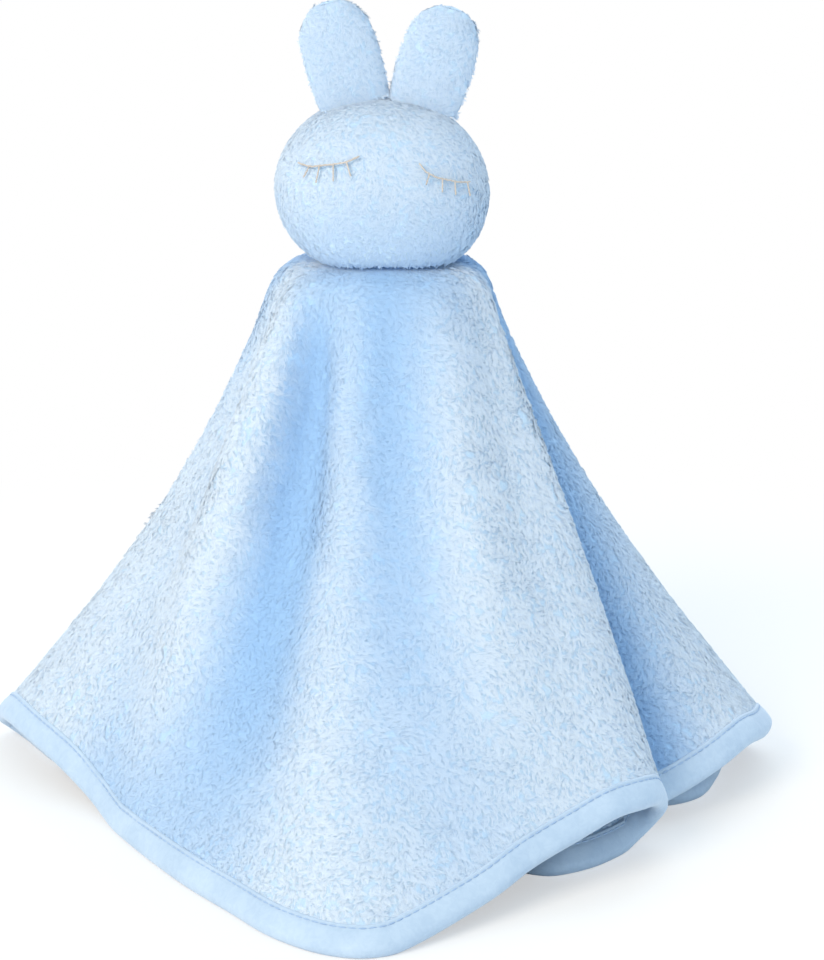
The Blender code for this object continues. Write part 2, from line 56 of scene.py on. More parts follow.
Piece = bpy.types.Object
Material = bpy.types.Material
Colour = tuple[float, float, float]
Pairs = tuple[tuple[float, float], ...]

GROUND_NORMAL = "ground_normal"
# The attribute that carries painted fold shade: colour deepened in the folds' valleys and on cloth turned
# from the light
PAINTED_SHADE = "fold_hollow"

log = logging.getLogger("lovey")


def joint(name: str) -> dict:
    """The frame's joint of that name."""
    return next(one for one in frame["joints"] if one["name"] == name)


# What the head turns about: the middle of the dome under it
PIVOT: tuple[float, float, float] = tuple(joint("head_tilt")["pos_m"])


class Body(Enum):
    """The bodies of the frame that pieces ride on."""

    BLANKET = "blanket"
    RING = "neck_ring"
    HEAD = "head"
    LEFT_EAR = "ear_left"
    RIGHT_EAR = "ear_right"


class Slot(Enum):
    """The record's material slots."""

    PLUSH = "blue_plush"
    TAPE = "blue_tape"
    SEAM = "seam_thread"
    EYE = "eye_thread"


class Side(Enum):
    """Left and right as the camera sees them."""

    LEFT = "left"
    RIGHT = "right"


# Shader arithmetic


class Signal:
    """A shader socket that Python operators can be used on."""

    def __init__(self, graph: "Graph", socket: bpy.types.NodeSocket) -> None:
        """Wraps one output socket of a graph."""
        self.graph = graph
        self.socket = socket

    def maths(self, operation: str, first: "Signal | float", second: "Signal | float" = 0.0) -> "Signal":
        """Adds one Math node and gives its output."""
        return self.graph.node("ShaderNodeMath", {"operation": operation}, {0: first, 1: second})

    def __add__(self, other: "Signal | float") -> "Signal":
        """Sum."""
        return self.maths("ADD", self, other)

    def __radd__(self, other: float) -> "Signal":
        """Reflected sum."""
        return self.maths("ADD", other, self)

    def __sub__(self, other: "Signal | float") -> "Signal":
        """Difference."""
        return self.maths("SUBTRACT", self, other)

    def __rsub__(self, other: float) -> "Signal":
        """Reflected difference."""
        return self.maths("SUBTRACT", other, self)

    def __mul__(self, other: "Signal | float") -> "Signal":
        """Product."""
        return self.maths("MULTIPLY", self, other)

    def __rmul__(self, other: float) -> "Signal":
        """Reflected product."""
        return self.maths("MULTIPLY", other, self)

    def smooth(self, low: float, high: float) -> "Signal":
        """Runs smoothly from 0 where this value is low to 1 where it is high."""
        ends = {"Value": self, "From Min": low, "From Max": high}
        return self.graph.node("ShaderNodeMapRange", {"interpolation_type": "SMOOTHSTEP"}, ends)

    def blend(self, low: "Colour | Signal", high: "Colour | Signal") -> "Signal":
        """Mixes two colours by this value, from low at 0 to high at 1."""
        ends = [(*end, 1) if isinstance(end, tuple) else end for end in (low, high)]
        return self.graph.mix("RGBA", self, *ends)


class Graph:
    """A material's nodes, made one call at a time."""

    def __init__(self, owner: Material | bpy.types.World) -> None:
        """Clears the nodes of a material or world.

        Args:
            owner: The new material or world.
        """
        owner.use_nodes = True
        self.owner = owner
        self.tree = owner.node_tree
        self.tree.nodes.clear()

    @classmethod
    def named(cls, name: str) -> "Graph":
        """Starts a material with nothing in it."""
        return cls(bpy.data.materials.new(name))

    def node(self, kind: str, settings: dict | None = None, values: dict | None = None,
             output: int | str = 0) -> Signal:
        """Adds any node.

        Args:
            kind: The node's type.
            settings: Its own settings, which are set first.
            values: A value, or a signal to link, for each socket by name or number.
            output: The output to return.

        Returns:
            That output as a signal.
        """
        node = self.tree.nodes.new(kind)
        for key, value in (settings or {}).items():
            setattr(node, key, value)
        for key, value in (values or {}).items():
            socket = self.pick(node.inputs, key)
            if isinstance(value, Signal):
                self.tree.links.new(value.socket, socket)
            else:
                socket.default_value = value
        return Signal(self, self.pick(node.outputs, output))

    def pick(self, sockets: bpy.types.bpy_prop_collection, key: int | str) -> bpy.types.NodeSocket:
        """Finds a socket that is in use by the node's settings.

        Args:
            sockets: The node's inputs or outputs.
            key: A name or a number.

        Returns:
            The socket.
        """
        if isinstance(key, int):
            return sockets[key]
        return next(socket for socket in sockets if socket.name == key and socket.enabled)

    def mix(self, kind: str, share: Signal | float, low: Colour | Signal, high: Colour | Signal) -> Signal:
        """Mixes two colours or vectors, from low at a share of 0 to high at 1."""
        values = {"Factor": share, "A": low, "B": high}
        return self.node("ShaderNodeMix", {"data_type": kind}, values, "Result")

    def place(self) -> Signal:
        """The object's own coordinates."""
        return self.node("ShaderNodeTexCoord", output="Object")

    def painted_shade_share(self) -> Signal:
        """The share of painted fold shade at the point, from 0 to 1."""
        return self.node("ShaderNodeAttribute", {"attribute_name": PAINTED_SHADE}, output="Fac")

    def noise(self, scale: float, detail: float = 2.0, distortion: float = 0.0) -> Signal:
        """Soft noise from 0 to 1 over the object, with scale lumps in a metre."""
        values = {"Vector": self.place(), "Scale": scale, "Detail": detail, "Distortion": distortion}
        return self.node("ShaderNodeTexNoise", {}, values)

    def bump(self, height: Signal, strength: float, depth: float) -> Signal:
        """A normal bent by a height from 0 to 1, where 1 stands up by depth."""
        return self.node("ShaderNodeBump", {}, {"Height": height, "Strength": strength, "Distance": depth})

    def principled(self, values: dict) -> Material:
        """Ends the graph in a Principled shader with those values and links."""
        return self.finish(self.node("ShaderNodeBsdfPrincipled", {}, values))

    def finish(self, shader: Signal, kind: str = "ShaderNodeOutputMaterial") -> Material | bpy.types.World:
        """Ends the graph.

        Args:
            shader: The shader for the surface.
            kind: The type of the last node.

        Returns:
            The material or world.
        """
        end = self.tree.nodes.new(kind)
        self.tree.links.new(shader.socket, end.inputs["Surface"])
        return self.owner


def screen(red: int, green: int, blue: int) -> Colour:
    """Turns a colour as a screen shows it, from 0 to 255, into the linear one that shaders take."""
    return tuple(((part / 255 + 0.055) / 1.055) ** 2.4 for part in (red, green, blue))


# Finishes


@dataclass(frozen=True)
class PlushFinish:
    """The ground of the plush, as it shows between and under its clumps of fibre, paler where they stand up
    and deeper between them, which is painted shade.
    """

    name: str
    deep: Colour
    pale: Colour
    shade: Colour
    clumps: float = 420
    fibres: float = 1500
    patches: float = 38
    clumped: float = 0.7
    patched: float = 0.25
    depth: float = 0.6 * MM

    def material(self) -> Material:
        """Builds the material.

        Returns:
            A matt, clumped, pale blue surface with a soft sheen.
        """
        graph = Graph.named(self.name)
        clump = graph.noise(self.clumps, 3.0, 1.6)
        fibre = graph.noise(self.fibres, 2.0, 2.5)
        patch = graph.noise(self.patches)
        height = clump * self.clumped + fibre * (1 - self.clumped)
        # Painted shade: paler where the clumps stand up and deeper between them, with random patches on top
        tone = height.smooth(0.30, 0.68) * (1 - self.patched) + patch.smooth(0.35, 0.65) * self.patched
        return graph.principled({
            # Painted fold shade laid over the ground's tone
            "Base Color": graph.painted_shade_share().blend(tone.blend(self.deep, self.pale), self.shade),
            "Roughness": 0.95,
            "Sheen Weight": 0.35,
            "Sheen Roughness": 0.5,
            "Specular IOR Level": 0.1,
            "Normal": graph.bump(height, 0.8, self.depth),
        })


@dataclass(frozen=True)
class FibreFinish:
    """The pile's own fibres, painted darker towards their base where the pile shades itself, and with a
    little change from one to the next.
    """

    name: str
    shaded_root: Colour
    tip: Colour
    odd: Colour
    shade: Colour
    odd_share: float = 0.45
    own_share: float = 0.33

    def material(self) -> Material:
        """Builds the material.

        Returns:
            A soft fibre that is lit mostly as the ground that it grows from is.
        """
        graph = Graph.named(self.name)
        along = graph.node("ShaderNodeHairInfo", output="Intercept")
        chance = graph.node("ShaderNodeHairInfo", output="Random")
        # Painted shade: each fibre is darker near the ground it grows from
        body = along.smooth(0.0, 0.75).blend(self.shaded_root, self.tip)
        varied = (chance.smooth(0.0, 1.0) * self.odd_share).blend(body, self.odd)
        stored = {"attribute_type": "GEOMETRY", "attribute_name": GROUND_NORMAL}
        ground = graph.node("ShaderNodeAttribute", stored, output="Vector")
        turned = {"vector_type": "NORMAL", "convert_from": "OBJECT", "convert_to": "WORLD"}
        facing = graph.node("ShaderNodeVectorTransform", turned, {"Vector": ground})
        own = graph.node("ShaderNodeNewGeometry", output="Normal")
        return graph.principled({
            # Painted fold shade laid over the fibre's colour
            "Base Color": graph.painted_shade_share().blend(varied, self.shade),
            "Roughness": 0.9,
            "Specular IOR Level": 0.1,
            "Sheen Weight": 0.4,
            "Sheen Roughness": 0.5,
            "Normal": graph.mix("VECTOR", self.own_share, facing, own),
        })


@dataclass(frozen=True)
class TapeFinish:
    """Smooth knitted tape with fine ribs and slubs and a slightly patchy tone."""

    name: str
    deep: Colour
    pale: Colour
    ribs: float = 1300
    slubs: float = 420
    patches: float = 60
    depth: float = 0.25 * MM

    def material(self) -> Material:
        """Builds the material.

        Returns:
            A smooth, softly shining, finely knitted surface.
        """
        graph = Graph.named(self.name)
        knit = graph.noise(self.ribs, 1.0, 0.4)
        patch = graph.noise(self.patches)
        slub = graph.noise(self.slubs, 2.0, 0.8)
        # Paler where the knit and slubs stand up and deeper between them, which is painted shade, with
        # patches of random tone
        tone = patch.smooth(0.3, 0.7) * 0.5 + slub.smooth(0.35, 0.65) * 0.3 + knit * 0.2
        return graph.principled({
            "Base Color": tone.blend(self.deep, self.pale),
            "Roughness": 0.62 + slub * 0.12,
            "Sheen Weight": 0.25,
            "Specular IOR Level": 0.3,
            "Normal": graph.bump(knit * 0.6 + slub * 0.4, 0.5, self.depth),
        })


@dataclass(frozen=True)
class ThreadFinish:
    """Twisted thread with a soft lustre."""

    name: str
    deep: Colour
    pale: Colour
    lustre: float = 0.45
    plies: float = 2600
    drifts: float = 220
    depth: float = 0.12 * MM

    def material(self) -> Material:
        """Builds the material.

        Returns:
            A thread whose plies show as fine light and dark lines, the dark in the grooves between plies
            being painted shade.
        """
        graph = Graph.named(self.name)
        ply = graph.noise(self.plies, 1.0, 3.0)
        # The ply pattern that makes the bump also pales the ply crowns and deepens the grooves: painted
        # shade, with a random drift in tone
        tone = ply.smooth(0.3, 0.7) * 0.6 + graph.noise(self.drifts) * 0.4
        return graph.principled({
            "Base Color": tone.blend(self.deep, self.pale),
            "Roughness": self.lustre,
            "Specular IOR Level": 0.4,
            "Normal": graph.bump(ply, 0.6, self.depth),
        })


# Painted shade: the colour that the plush deepens to in fold valleys and where it faces away from the light
FOLD_SHADE = screen(166, 206, 248)
BLANKET_PLUSH = PlushFinish("blanket_plush_ground", screen(186, 216, 245), screen(210, 232, 250), FOLD_SHADE)
HEAD_PLUSH = PlushFinish("head_plush_ground", screen(182, 213, 244), screen(206, 229, 249), FOLD_SHADE)
FIBRES = FibreFinish(
    "plush_fibres", screen(202, 223, 248), screen(224, 238, 253), screen(212, 230, 251), FOLD_SHADE)
TAPE = TapeFinish("binding_tape", screen(174, 196, 220), screen(192, 211, 231))
TAPE_THREAD = ThreadFinish("binding_thread", screen(150, 180, 216), screen(178, 202, 232))
SEAM_THREAD = ThreadFinish("neck_thread", screen(150, 182, 220), screen(184, 208, 238))
EYE_THREAD = ThreadFinish("eye_embroidery_thread", screen(168, 156, 148), screen(230, 223, 215), 0.4)
# Meshes from arrays


def unit(vectors: Array) -> Array:
    """Scales rows of vectors, in any number of dimensions, to length 1."""
    return vectors / np.maximum(np.linalg.norm(vectors, axis=-1, keepdims=True), 1e-12)


def ramp(values: Array, start: float, width: float) -> Array:
    """Rises evenly from 0 at the start to 1 a width further on."""
    return np.clip((values - start) / width, 0, 1)


def eased(share: Array) -> Array:
    """Rounds off both ends of a rise from 0 to 1."""
    return share * share * (3 - 2 * share)


def run_along(points: Array) -> Array:
    """How far along an open line each of its points lies."""
    return np.concatenate([[0], np.cumsum(np.linalg.norm(np.diff(points, axis=0), axis=1))])


def points_of(piece: Piece) -> Array:
    """The places of a mesh's points."""
    return np.array([vertex.co for vertex in piece.data.vertices])


def evened(points: Array, reach: float) -> Array:
    """Evens out closed lines of points.

    Args:
        points: The lines, each a row of points.
        reach: How many points the evening reaches over.

    Returns:
        The evened lines.
    """
    count = points.shape[-2]
    kept = np.exp(-(np.fft.rfftfreq(count) * TAU * reach) ** 2 / 2)[:, None]
    return np.fft.irfft(np.fft.rfft(points, axis=-2) * kept, count, axis=-2)


def grid_faces(rows: int, columns: int, first: int = 0, flipped: bool = False) -> Array:
    """Lists the four-sided faces of a grid of points whose rows close on themselves.

    Args:
        rows: How many rows of points there are.
        columns: How many points are in a row.
        first: The number of the grid's first point.
        flipped: Whether the faces look the other way.

    Returns:
        The corner numbers of each face.
    """
    row, column = np.meshgrid(np.arange(rows - 1) * columns, np.arange(columns), indexing="ij")
    after = (column + 1) % columns
    corners = [row + column, row + after, row + columns + after, row + columns + column]
    faces = first + np.stack([corner.ravel() for corner in corners], 1)
    return faces[:, ::-1] if flipped else faces


def fan(ring: Array, tip: int, flipped: bool = False) -> Array:
    """Lists the triangles from a closed ring of points to one more point.

    Args:
        ring: The numbers of the ring's points.
        tip: The number of the point.
        flipped: Whether the faces look the other way.

    Returns:
        The corner numbers of each face.
    """
    ends = (np.roll(ring, -1), ring) if flipped else (ring, np.roll(ring, -1))
    return np.stack([*ends, np.full(len(ring), tip)], 1)


def add_mesh(name: str, points: Array, faces: list[Array], material: Material) -> Piece:
    """Adds a smooth mesh object.

    Args:
        name: The object's name.
        points: Its points.
        faces: Arrays of faces, each of one number of corners.
        material: Its finish.

    Returns:
        The object.
    """
    mesh = bpy.data.meshes.new(name)
    mesh.from_pydata(points.tolist(), [], [face for block in faces for face in block.tolist()])
    mesh.shade_smooth()
    mesh.materials.append(material)
    piece = bpy.data.objects.new(name, mesh)
    bpy.context.scene.collection.objects.link(piece)
    return piece


def closed_curve(values: Array, knots: Array, span: float, at: Array) -> Array:
    """Runs a smooth closed curve through rows of values.

    Args:
        values: The rows to pass through.
        knots: Where along the curve each row stands.
        span: The curve's whole length.
        at: Where to read it.

    Returns:
        The curve's rows at those places.
    """
    step = np.diff(np.append(knots, knots[0] + span))
    rise = (np.roll(values, -1, axis=0) - values) / step[:, None]
    before = np.roll(step, 1)[:, None]
    slope = (np.roll(rise, 1, axis=0) * step[:, None] + rise * before) / (step[:, None] + before)
    index = np.searchsorted(knots, at % span, side="right") - 1
    after = (index + 1) % len(knots)
    share = ((at % span - knots[index]) / step[index])[:, None]
    length = step[index][:, None]
    square, cube = share**2, share**3
    return ((2 * cube - 3 * square + 1) * values[index] + (cube - 2 * square + share) * length * slope[index]
            + (3 * square - 2 * cube) * values[after] + (cube - square) * length * slope[after])


def waves(points: Array, length: float, seed: int, count: int = 12) -> Array:
    """Smooth noise, as a sum of sine waves in random directions.

    Args:
        points: Where to read it.
        length: The waves' mean length.
        seed: Which noise it is.
        count: How many waves are summed.

    Returns:
        The noise at each point, mostly between -1 and 1.
    """
    chance = np.random.default_rng(seed)
    ways = unit(chance.normal(size=(count, 3))) * TAU / (length * chance.uniform(0.6, 1.6, (count, 1)))
    starts = chance.uniform(0, TAU, count)
    return np.sin(points @ ways.T + starts).sum(axis=1) / math.sqrt(count)


# The pile


@dataclass
class Skin:
    """Triangles that pile grows on, with a normal, a lay, a length share and a share of painted shade at each
    point.
    """

    points: Array
    triangles: Array
    normals: Array
    lay: Array
    length: Array
    painted_shade_share: Array
    least: float = 0.02

    @classmethod
    def from_grid(cls, points: Array, normals: Array, lay: Array, length: Array, painted_shade_share: Array) -> "Skin":
        """Reads a grid of points as a skin.

        Args:
            points: The grid, as rows by columns by 3.
            normals: Its normals.
            lay: Which way the pile lies.
            length: The share of the full pile at each point.
            painted_shade_share: How much painted fold shade each point has, from 0 to 1.

        Returns:
            The skin.
        """
        quads = grid_faces(points.shape[0], points.shape[1])
        triangles = np.concatenate([quads[:, [0, 1, 2]], quads[:, [0, 2, 3]]])
        lines = (rows.reshape(-1, 3) for rows in (normals, lay))
        return cls(points.reshape(-1, 3), triangles, *lines, length.ravel(), painted_shade_share.ravel())

    @classmethod
    def from_piece(cls, piece: Piece, length: Array, down: Vector, painted_shade_share: Array | float) -> "Skin":
        """Reads a mesh as a skin.

        Args:
            piece: The object, whose mesh is in the frame's axes.
            length: The share of the full pile at each point.
            down: Which way the pile is brushed.
            painted_shade_share: The share of painted shade, from 0 to 1, all over or at each point.

        Returns:
            The skin.
        """
        mesh = piece.data
        mesh.calc_loop_triangles()
        points = points_of(piece)
        normals = np.empty(points.size)
        mesh.vertex_normals.foreach_get("vector", normals)
        triangles = np.empty(len(mesh.loop_triangles) * 3, np.int32)
        mesh.loop_triangles.foreach_get("vertices", triangles)
        normals = normals.reshape(-1, 3)
        lay = np.array(down) - normals * (normals @ np.array(down))[:, None]
        painted_shade_share = painted_shade_share + np.zeros(len(points))
        return cls(points, triangles.reshape(-1, 3), normals, unit(lay), length, painted_shade_share)

    def scatter(self, spacing: float, chance: np.random.Generator) -> tuple[Array, ...]:
        """Picks random roots, evenly by area.

        Args:
            spacing: The mean distance between roots.
            chance: The source of randomness.

        Returns:
            The roots, their normals, lays, length shares and shares of painted shade.
        """
        corners = self.points[self.triangles]
        sides = (corners[:, 1] - corners[:, 0], corners[:, 2] - corners[:, 0])
        area = np.linalg.norm(np.cross(*sides), axis=1) / 2
        area = area * (self.length[self.triangles].mean(axis=1) > self.least)
        count = int(area.sum() / spacing**2)
        chosen = chance.choice(len(area), count, p=area / area.sum())
        first, second = chance.uniform(size=(2, count))
        over = first + second > 1
        first[over], second[over] = 1 - first[over], 1 - second[over]
        weights = np.stack([1 - first - second, first, second], 1)
        picked = self.triangles[chosen]
        lines = (self.points, self.normals, self.lay)
        roots, normals, lays = (np.einsum("nk,nkd->nd", weights, values[picked]) for values in lines)
        length, painted_shade_share = ((weights * values[picked]).sum(axis=1) for values in (self.length, self.painted_shade_share))
        return roots, unit(normals), unit(lays), length, painted_shade_share


@dataclass
class PileCoat:
    """Short clumped pile, as tufts of fine fibres that rise from the ground and lie over."""

    name: str
    spacing: float
    fibres: int = 8
    rise: float = 0.8 * MM
    reach: float = 2.4 * MM
    curl: float = 0.5 * MM
    tuft: float = 0.8 * MM
    fibre: float = 0.10 * MM
    swirl: float = 34 * MM
    eddy: float = 9 * MM
    steps: int = 5
    spread: float = 1.1
    drawn_in: float = 0.45
    taper: float = 0.45
    seed: int = 11

    def grow(self, skin: Skin, piece: Piece, finish: Material) -> Piece:
        """Grows the pile on a skin.

        Args:
            skin: The surface to grow it on.
            piece: The piece that the pile belongs to and moves with.
            finish: The fibres' material.

        Returns:
            The fibres, as one object.
        """
        chance = np.random.default_rng(self.seed)
        roots, normals, lays, shares, painted_shade_shares = skin.scatter(self.spacing, chance)
        count = len(roots)
        turn = 1.3 * waves(roots, self.swirl, self.seed + 1) + 0.9 * waves(roots, self.eddy, self.seed + 2)
        turn = turn * self.spread * 0.6 + chance.normal(0, self.spread * 0.55, count)
        across = np.cross(normals, lays)
        heading = lays * np.cos(turn)[:, None] + across * np.sin(turn)[:, None]
        aside = np.cross(normals, heading)
        size = shares * chance.uniform(0.65, 1.25, count)
        wave = chance.uniform(0, TAU, count)
        along = np.linspace(0, 1, self.steps)
        strands = []
        for _ in range(self.fibres):
            ring = self.tuft * np.sqrt(chance.uniform(0, 1, count))
            angle = chance.uniform(0, TAU, count)
            off = (heading * np.cos(angle)[:, None] + aside * np.sin(angle)[:, None]) * ring[:, None]
            own = size * chance.uniform(0.75, 1.15, count)
            phase = wave + chance.normal(0, 0.5, count)
            path = []
            for share in along:
                lift = self.rise * own * math.sin(math.pi / 2 * min(1.0, share * 1.25)) * (1 - 0.25 * share)
                run = self.reach * own * share**1.3
                bend = self.curl * own * share * np.sin(phase + share * 3.6)
                sides = ((off, 1 - self.drawn_in * share), (normals, lift[:, None]),
                         (heading, run[:, None]), (aside, bend[:, None]))
                path.append(roots + sum(way * far for way, far in sides))
            strands.append(np.stack(path, 1))
        coat = self.add_curves(np.concatenate(strands), normals, painted_shade_shares, finish)
        coat.visible_shadow = False
        coat.parent = piece
        coat.matrix_parent_inverse = piece.matrix_world.inverted()
        return coat

    def add_curves(self, points: Array, normals: Array, painted_shade_shares: Array, finish: Material) -> Piece:
        """Adds the fibres to the scene.

        Args:
            points: The points along each fibre.
            normals: The ground's normals at the roots.
            painted_shade_shares: The shares of painted fold shade at the roots.
            finish: The fibres' material.

        Returns:
            The fibres, as one object.
        """
        curves = bpy.data.hair_curves.new(self.name)
        curves.add_curves([self.steps] * len(points))
        widths = self.fibre * (1 - self.taper * np.linspace(0, 1, self.steps))
        for name, kind, domain, key, values in (
                ("position", "FLOAT_VECTOR", "POINT", "vector", points),
                ("radius", "FLOAT", "POINT", "value", np.tile(widths, len(points))),
                (GROUND_NORMAL, "FLOAT_VECTOR", "CURVE", "vector", np.tile(normals, (self.fibres, 1))),
                (PAINTED_SHADE, "FLOAT", "CURVE", "value", np.tile(painted_shade_shares, self.fibres))):
            stored = curves.attributes.get(name) or curves.attributes.new(name, kind, domain)
            stored.data.foreach_set(key, values.astype(np.float32).ravel())
        curves.materials.append(finish)
        coat = bpy.data.objects.new(self.name, curves)
        bpy.context.scene.collection.objects.link(coat)
        log.info("%s: %d fibres", self.name, len(points))
        return coat


# The blanket

# The hem, station by station from the front corner towards +X: across, towards the front, lift, and tuck at
# mid height, in millimetres, then the bearing on the neck that it hangs from, in degrees.
HEM_STATIONS = (
    (-15, 190, 0, 0, -4), (2, 189, 0, 0, 8), (30, 166, 7, 0, 24), (46, 150, 13, -2, 37),
    (61, 139, 18, -2, 48), (74, 129, 22, 0, 56), (84, 120, 22, 0, 62), (89, 109, 19, 0, 67),
    (91, 100, 13, 0, 71), (88, 94, 6, 0, 75), (82, 97, 1, 0, 79), (77, 105, 0, 0, 83), (66, 117, 0, 0, 86),
    (53, 123, 0, 0, 88), (42, 115, 0, 0, 91), (43, 98, 0, 0, 94), (63, 86, 2, 0, 97), (83, 81, 5, 0, 100),
    (99, 74, 10, 0, 103), (113, 63, 15, 0, 106), (124, 48, 18, 0, 109), (131, 31, 15, 0, 112),
    (134, 15, 12, 0, 115), (134, 3, 7, 0, 117), (128, -3, 2, 0, 120), (121, 4, 0, 0, 122),
    (117, 20, 0, 0, 124), (113, 36, 0, 0, 126), (107, 51, 0, 0, 128), (95, 58, 0, 0, 130),
    (85, 50, 0, 0, 132), (84, 32, 0, 0, 134), (91, -10, 0, 0, 138), (100, -55, 0, 0, 144),
    (103, -90, 3, 0, 148), (98, -113, 6, 0, 152), (84, -115, 3, 0, 155), (62, -97, 0, 0, 159),
    (44, -92, 0, 0, 163), (36, -112, 0, 0, 167), (31, -158, 0, 0, 173), (17, -179, 0, 0, 177),
    (1, -178, 0, 0, 181), (-12, -152, 0, 0, 185), (-18, -108, 0, 0, 190), (-28, -90, 0, 0, 194),
    (-42, -103, 0, 0, 198), (-52, -131, 5, 0, 203), (-58, -138, 5, 0, 205), (-66, -137, 3, 0, 207),
    (-71, -122, 0, 0, 210), (-68, -99, 0, 0, 213), (-72, -86, 0, 0, 216), (-80, -82, 0, 0, 219),
    (-87, -89, 0, 0, 222), (-90, -108, 0, 0, 225), (-94, -138, 0, 0, 228), (-99, -148, 0, 0, 231),
    (-108, -149, 0, 0, 234), (-115, -137, 0, 0, 237), (-116, -90, 0, 0, 243), (-109, -40, 0, 0, 250),
    (-101, -4, 0, 0, 256), (-99, 13, 0, 0, 260), (-105, 20, 0, 0, 264), (-114, 14, 0, 0, 268),
    (-121, 1, 0, 0, 271), (-128, -13, 0, 0, 274), (-134, -19, 2, 0, 277), (-136, -13, 6, 0, 280),
    (-134, -2, 11, 0, 283), (-130, 12, 14, 0, 287), (-122, 27, 13, 0, 292), (-110, 46, 10, 0, 298),
    (-98, 63, 4, -3, 302), (-88, 84, 0, -4, 309), (-76, 108, 0, 3, 317), (-62, 133, 0, 9, 327),
    (-48, 154, 0, 7, 337), (-33, 176, 0, 2, 347),
)

# How many times the hem's folds are evened out at each share of the way down
EVENING: Pairs = ((0.0, 26), (0.06, 20), (0.18, 14), (0.38, 9), (0.62, 4), (0.84, 1), (1.0, 0))

# Folds that run down from the neck: the station that each one follows at the neck and at the hem, its height
# in millimetres, less than 0 for a valley, its half width in stations, and the share of the way down where it
# is highest
FOLDS = (
    (74.2, 75.4, 4.5, 1.0, 0.40), (76.3, 77.9, -6.5, 1.3, 0.33), (0.9, 1.0, -4.5, 1.4, 0.33),
    (2.4, 3.6, 4.0, 1.2, 0.35), (5.3, 5.4, 2.5, 1.3, 0.45), (7.9, 7.4, 7.5, 1.6, 0.50),
    (9.9, 9.6, -5.0, 1.0, 0.60), (14.2, 15.2, -7.0, 2.6, 0.45), (71.0, 71.0, -1.8, 2.6, 0.25),
)

# Painted light and shade laid over the painted fold shade: bands of cloth made paler where they catch the
# light and deeper where they fall into shade. The station at the neck and at the hem, how much deeper, and
# the half width in stations
PAINTED_LIGHT_AND_SHADE = ((71.5, 71.0, -0.55, 3.6), (0.2, 0.6, 0.22, 1.4), (15.5, 16.5, 0.55, 3.2), (6.6, 5.6, -0.5, 2.6))


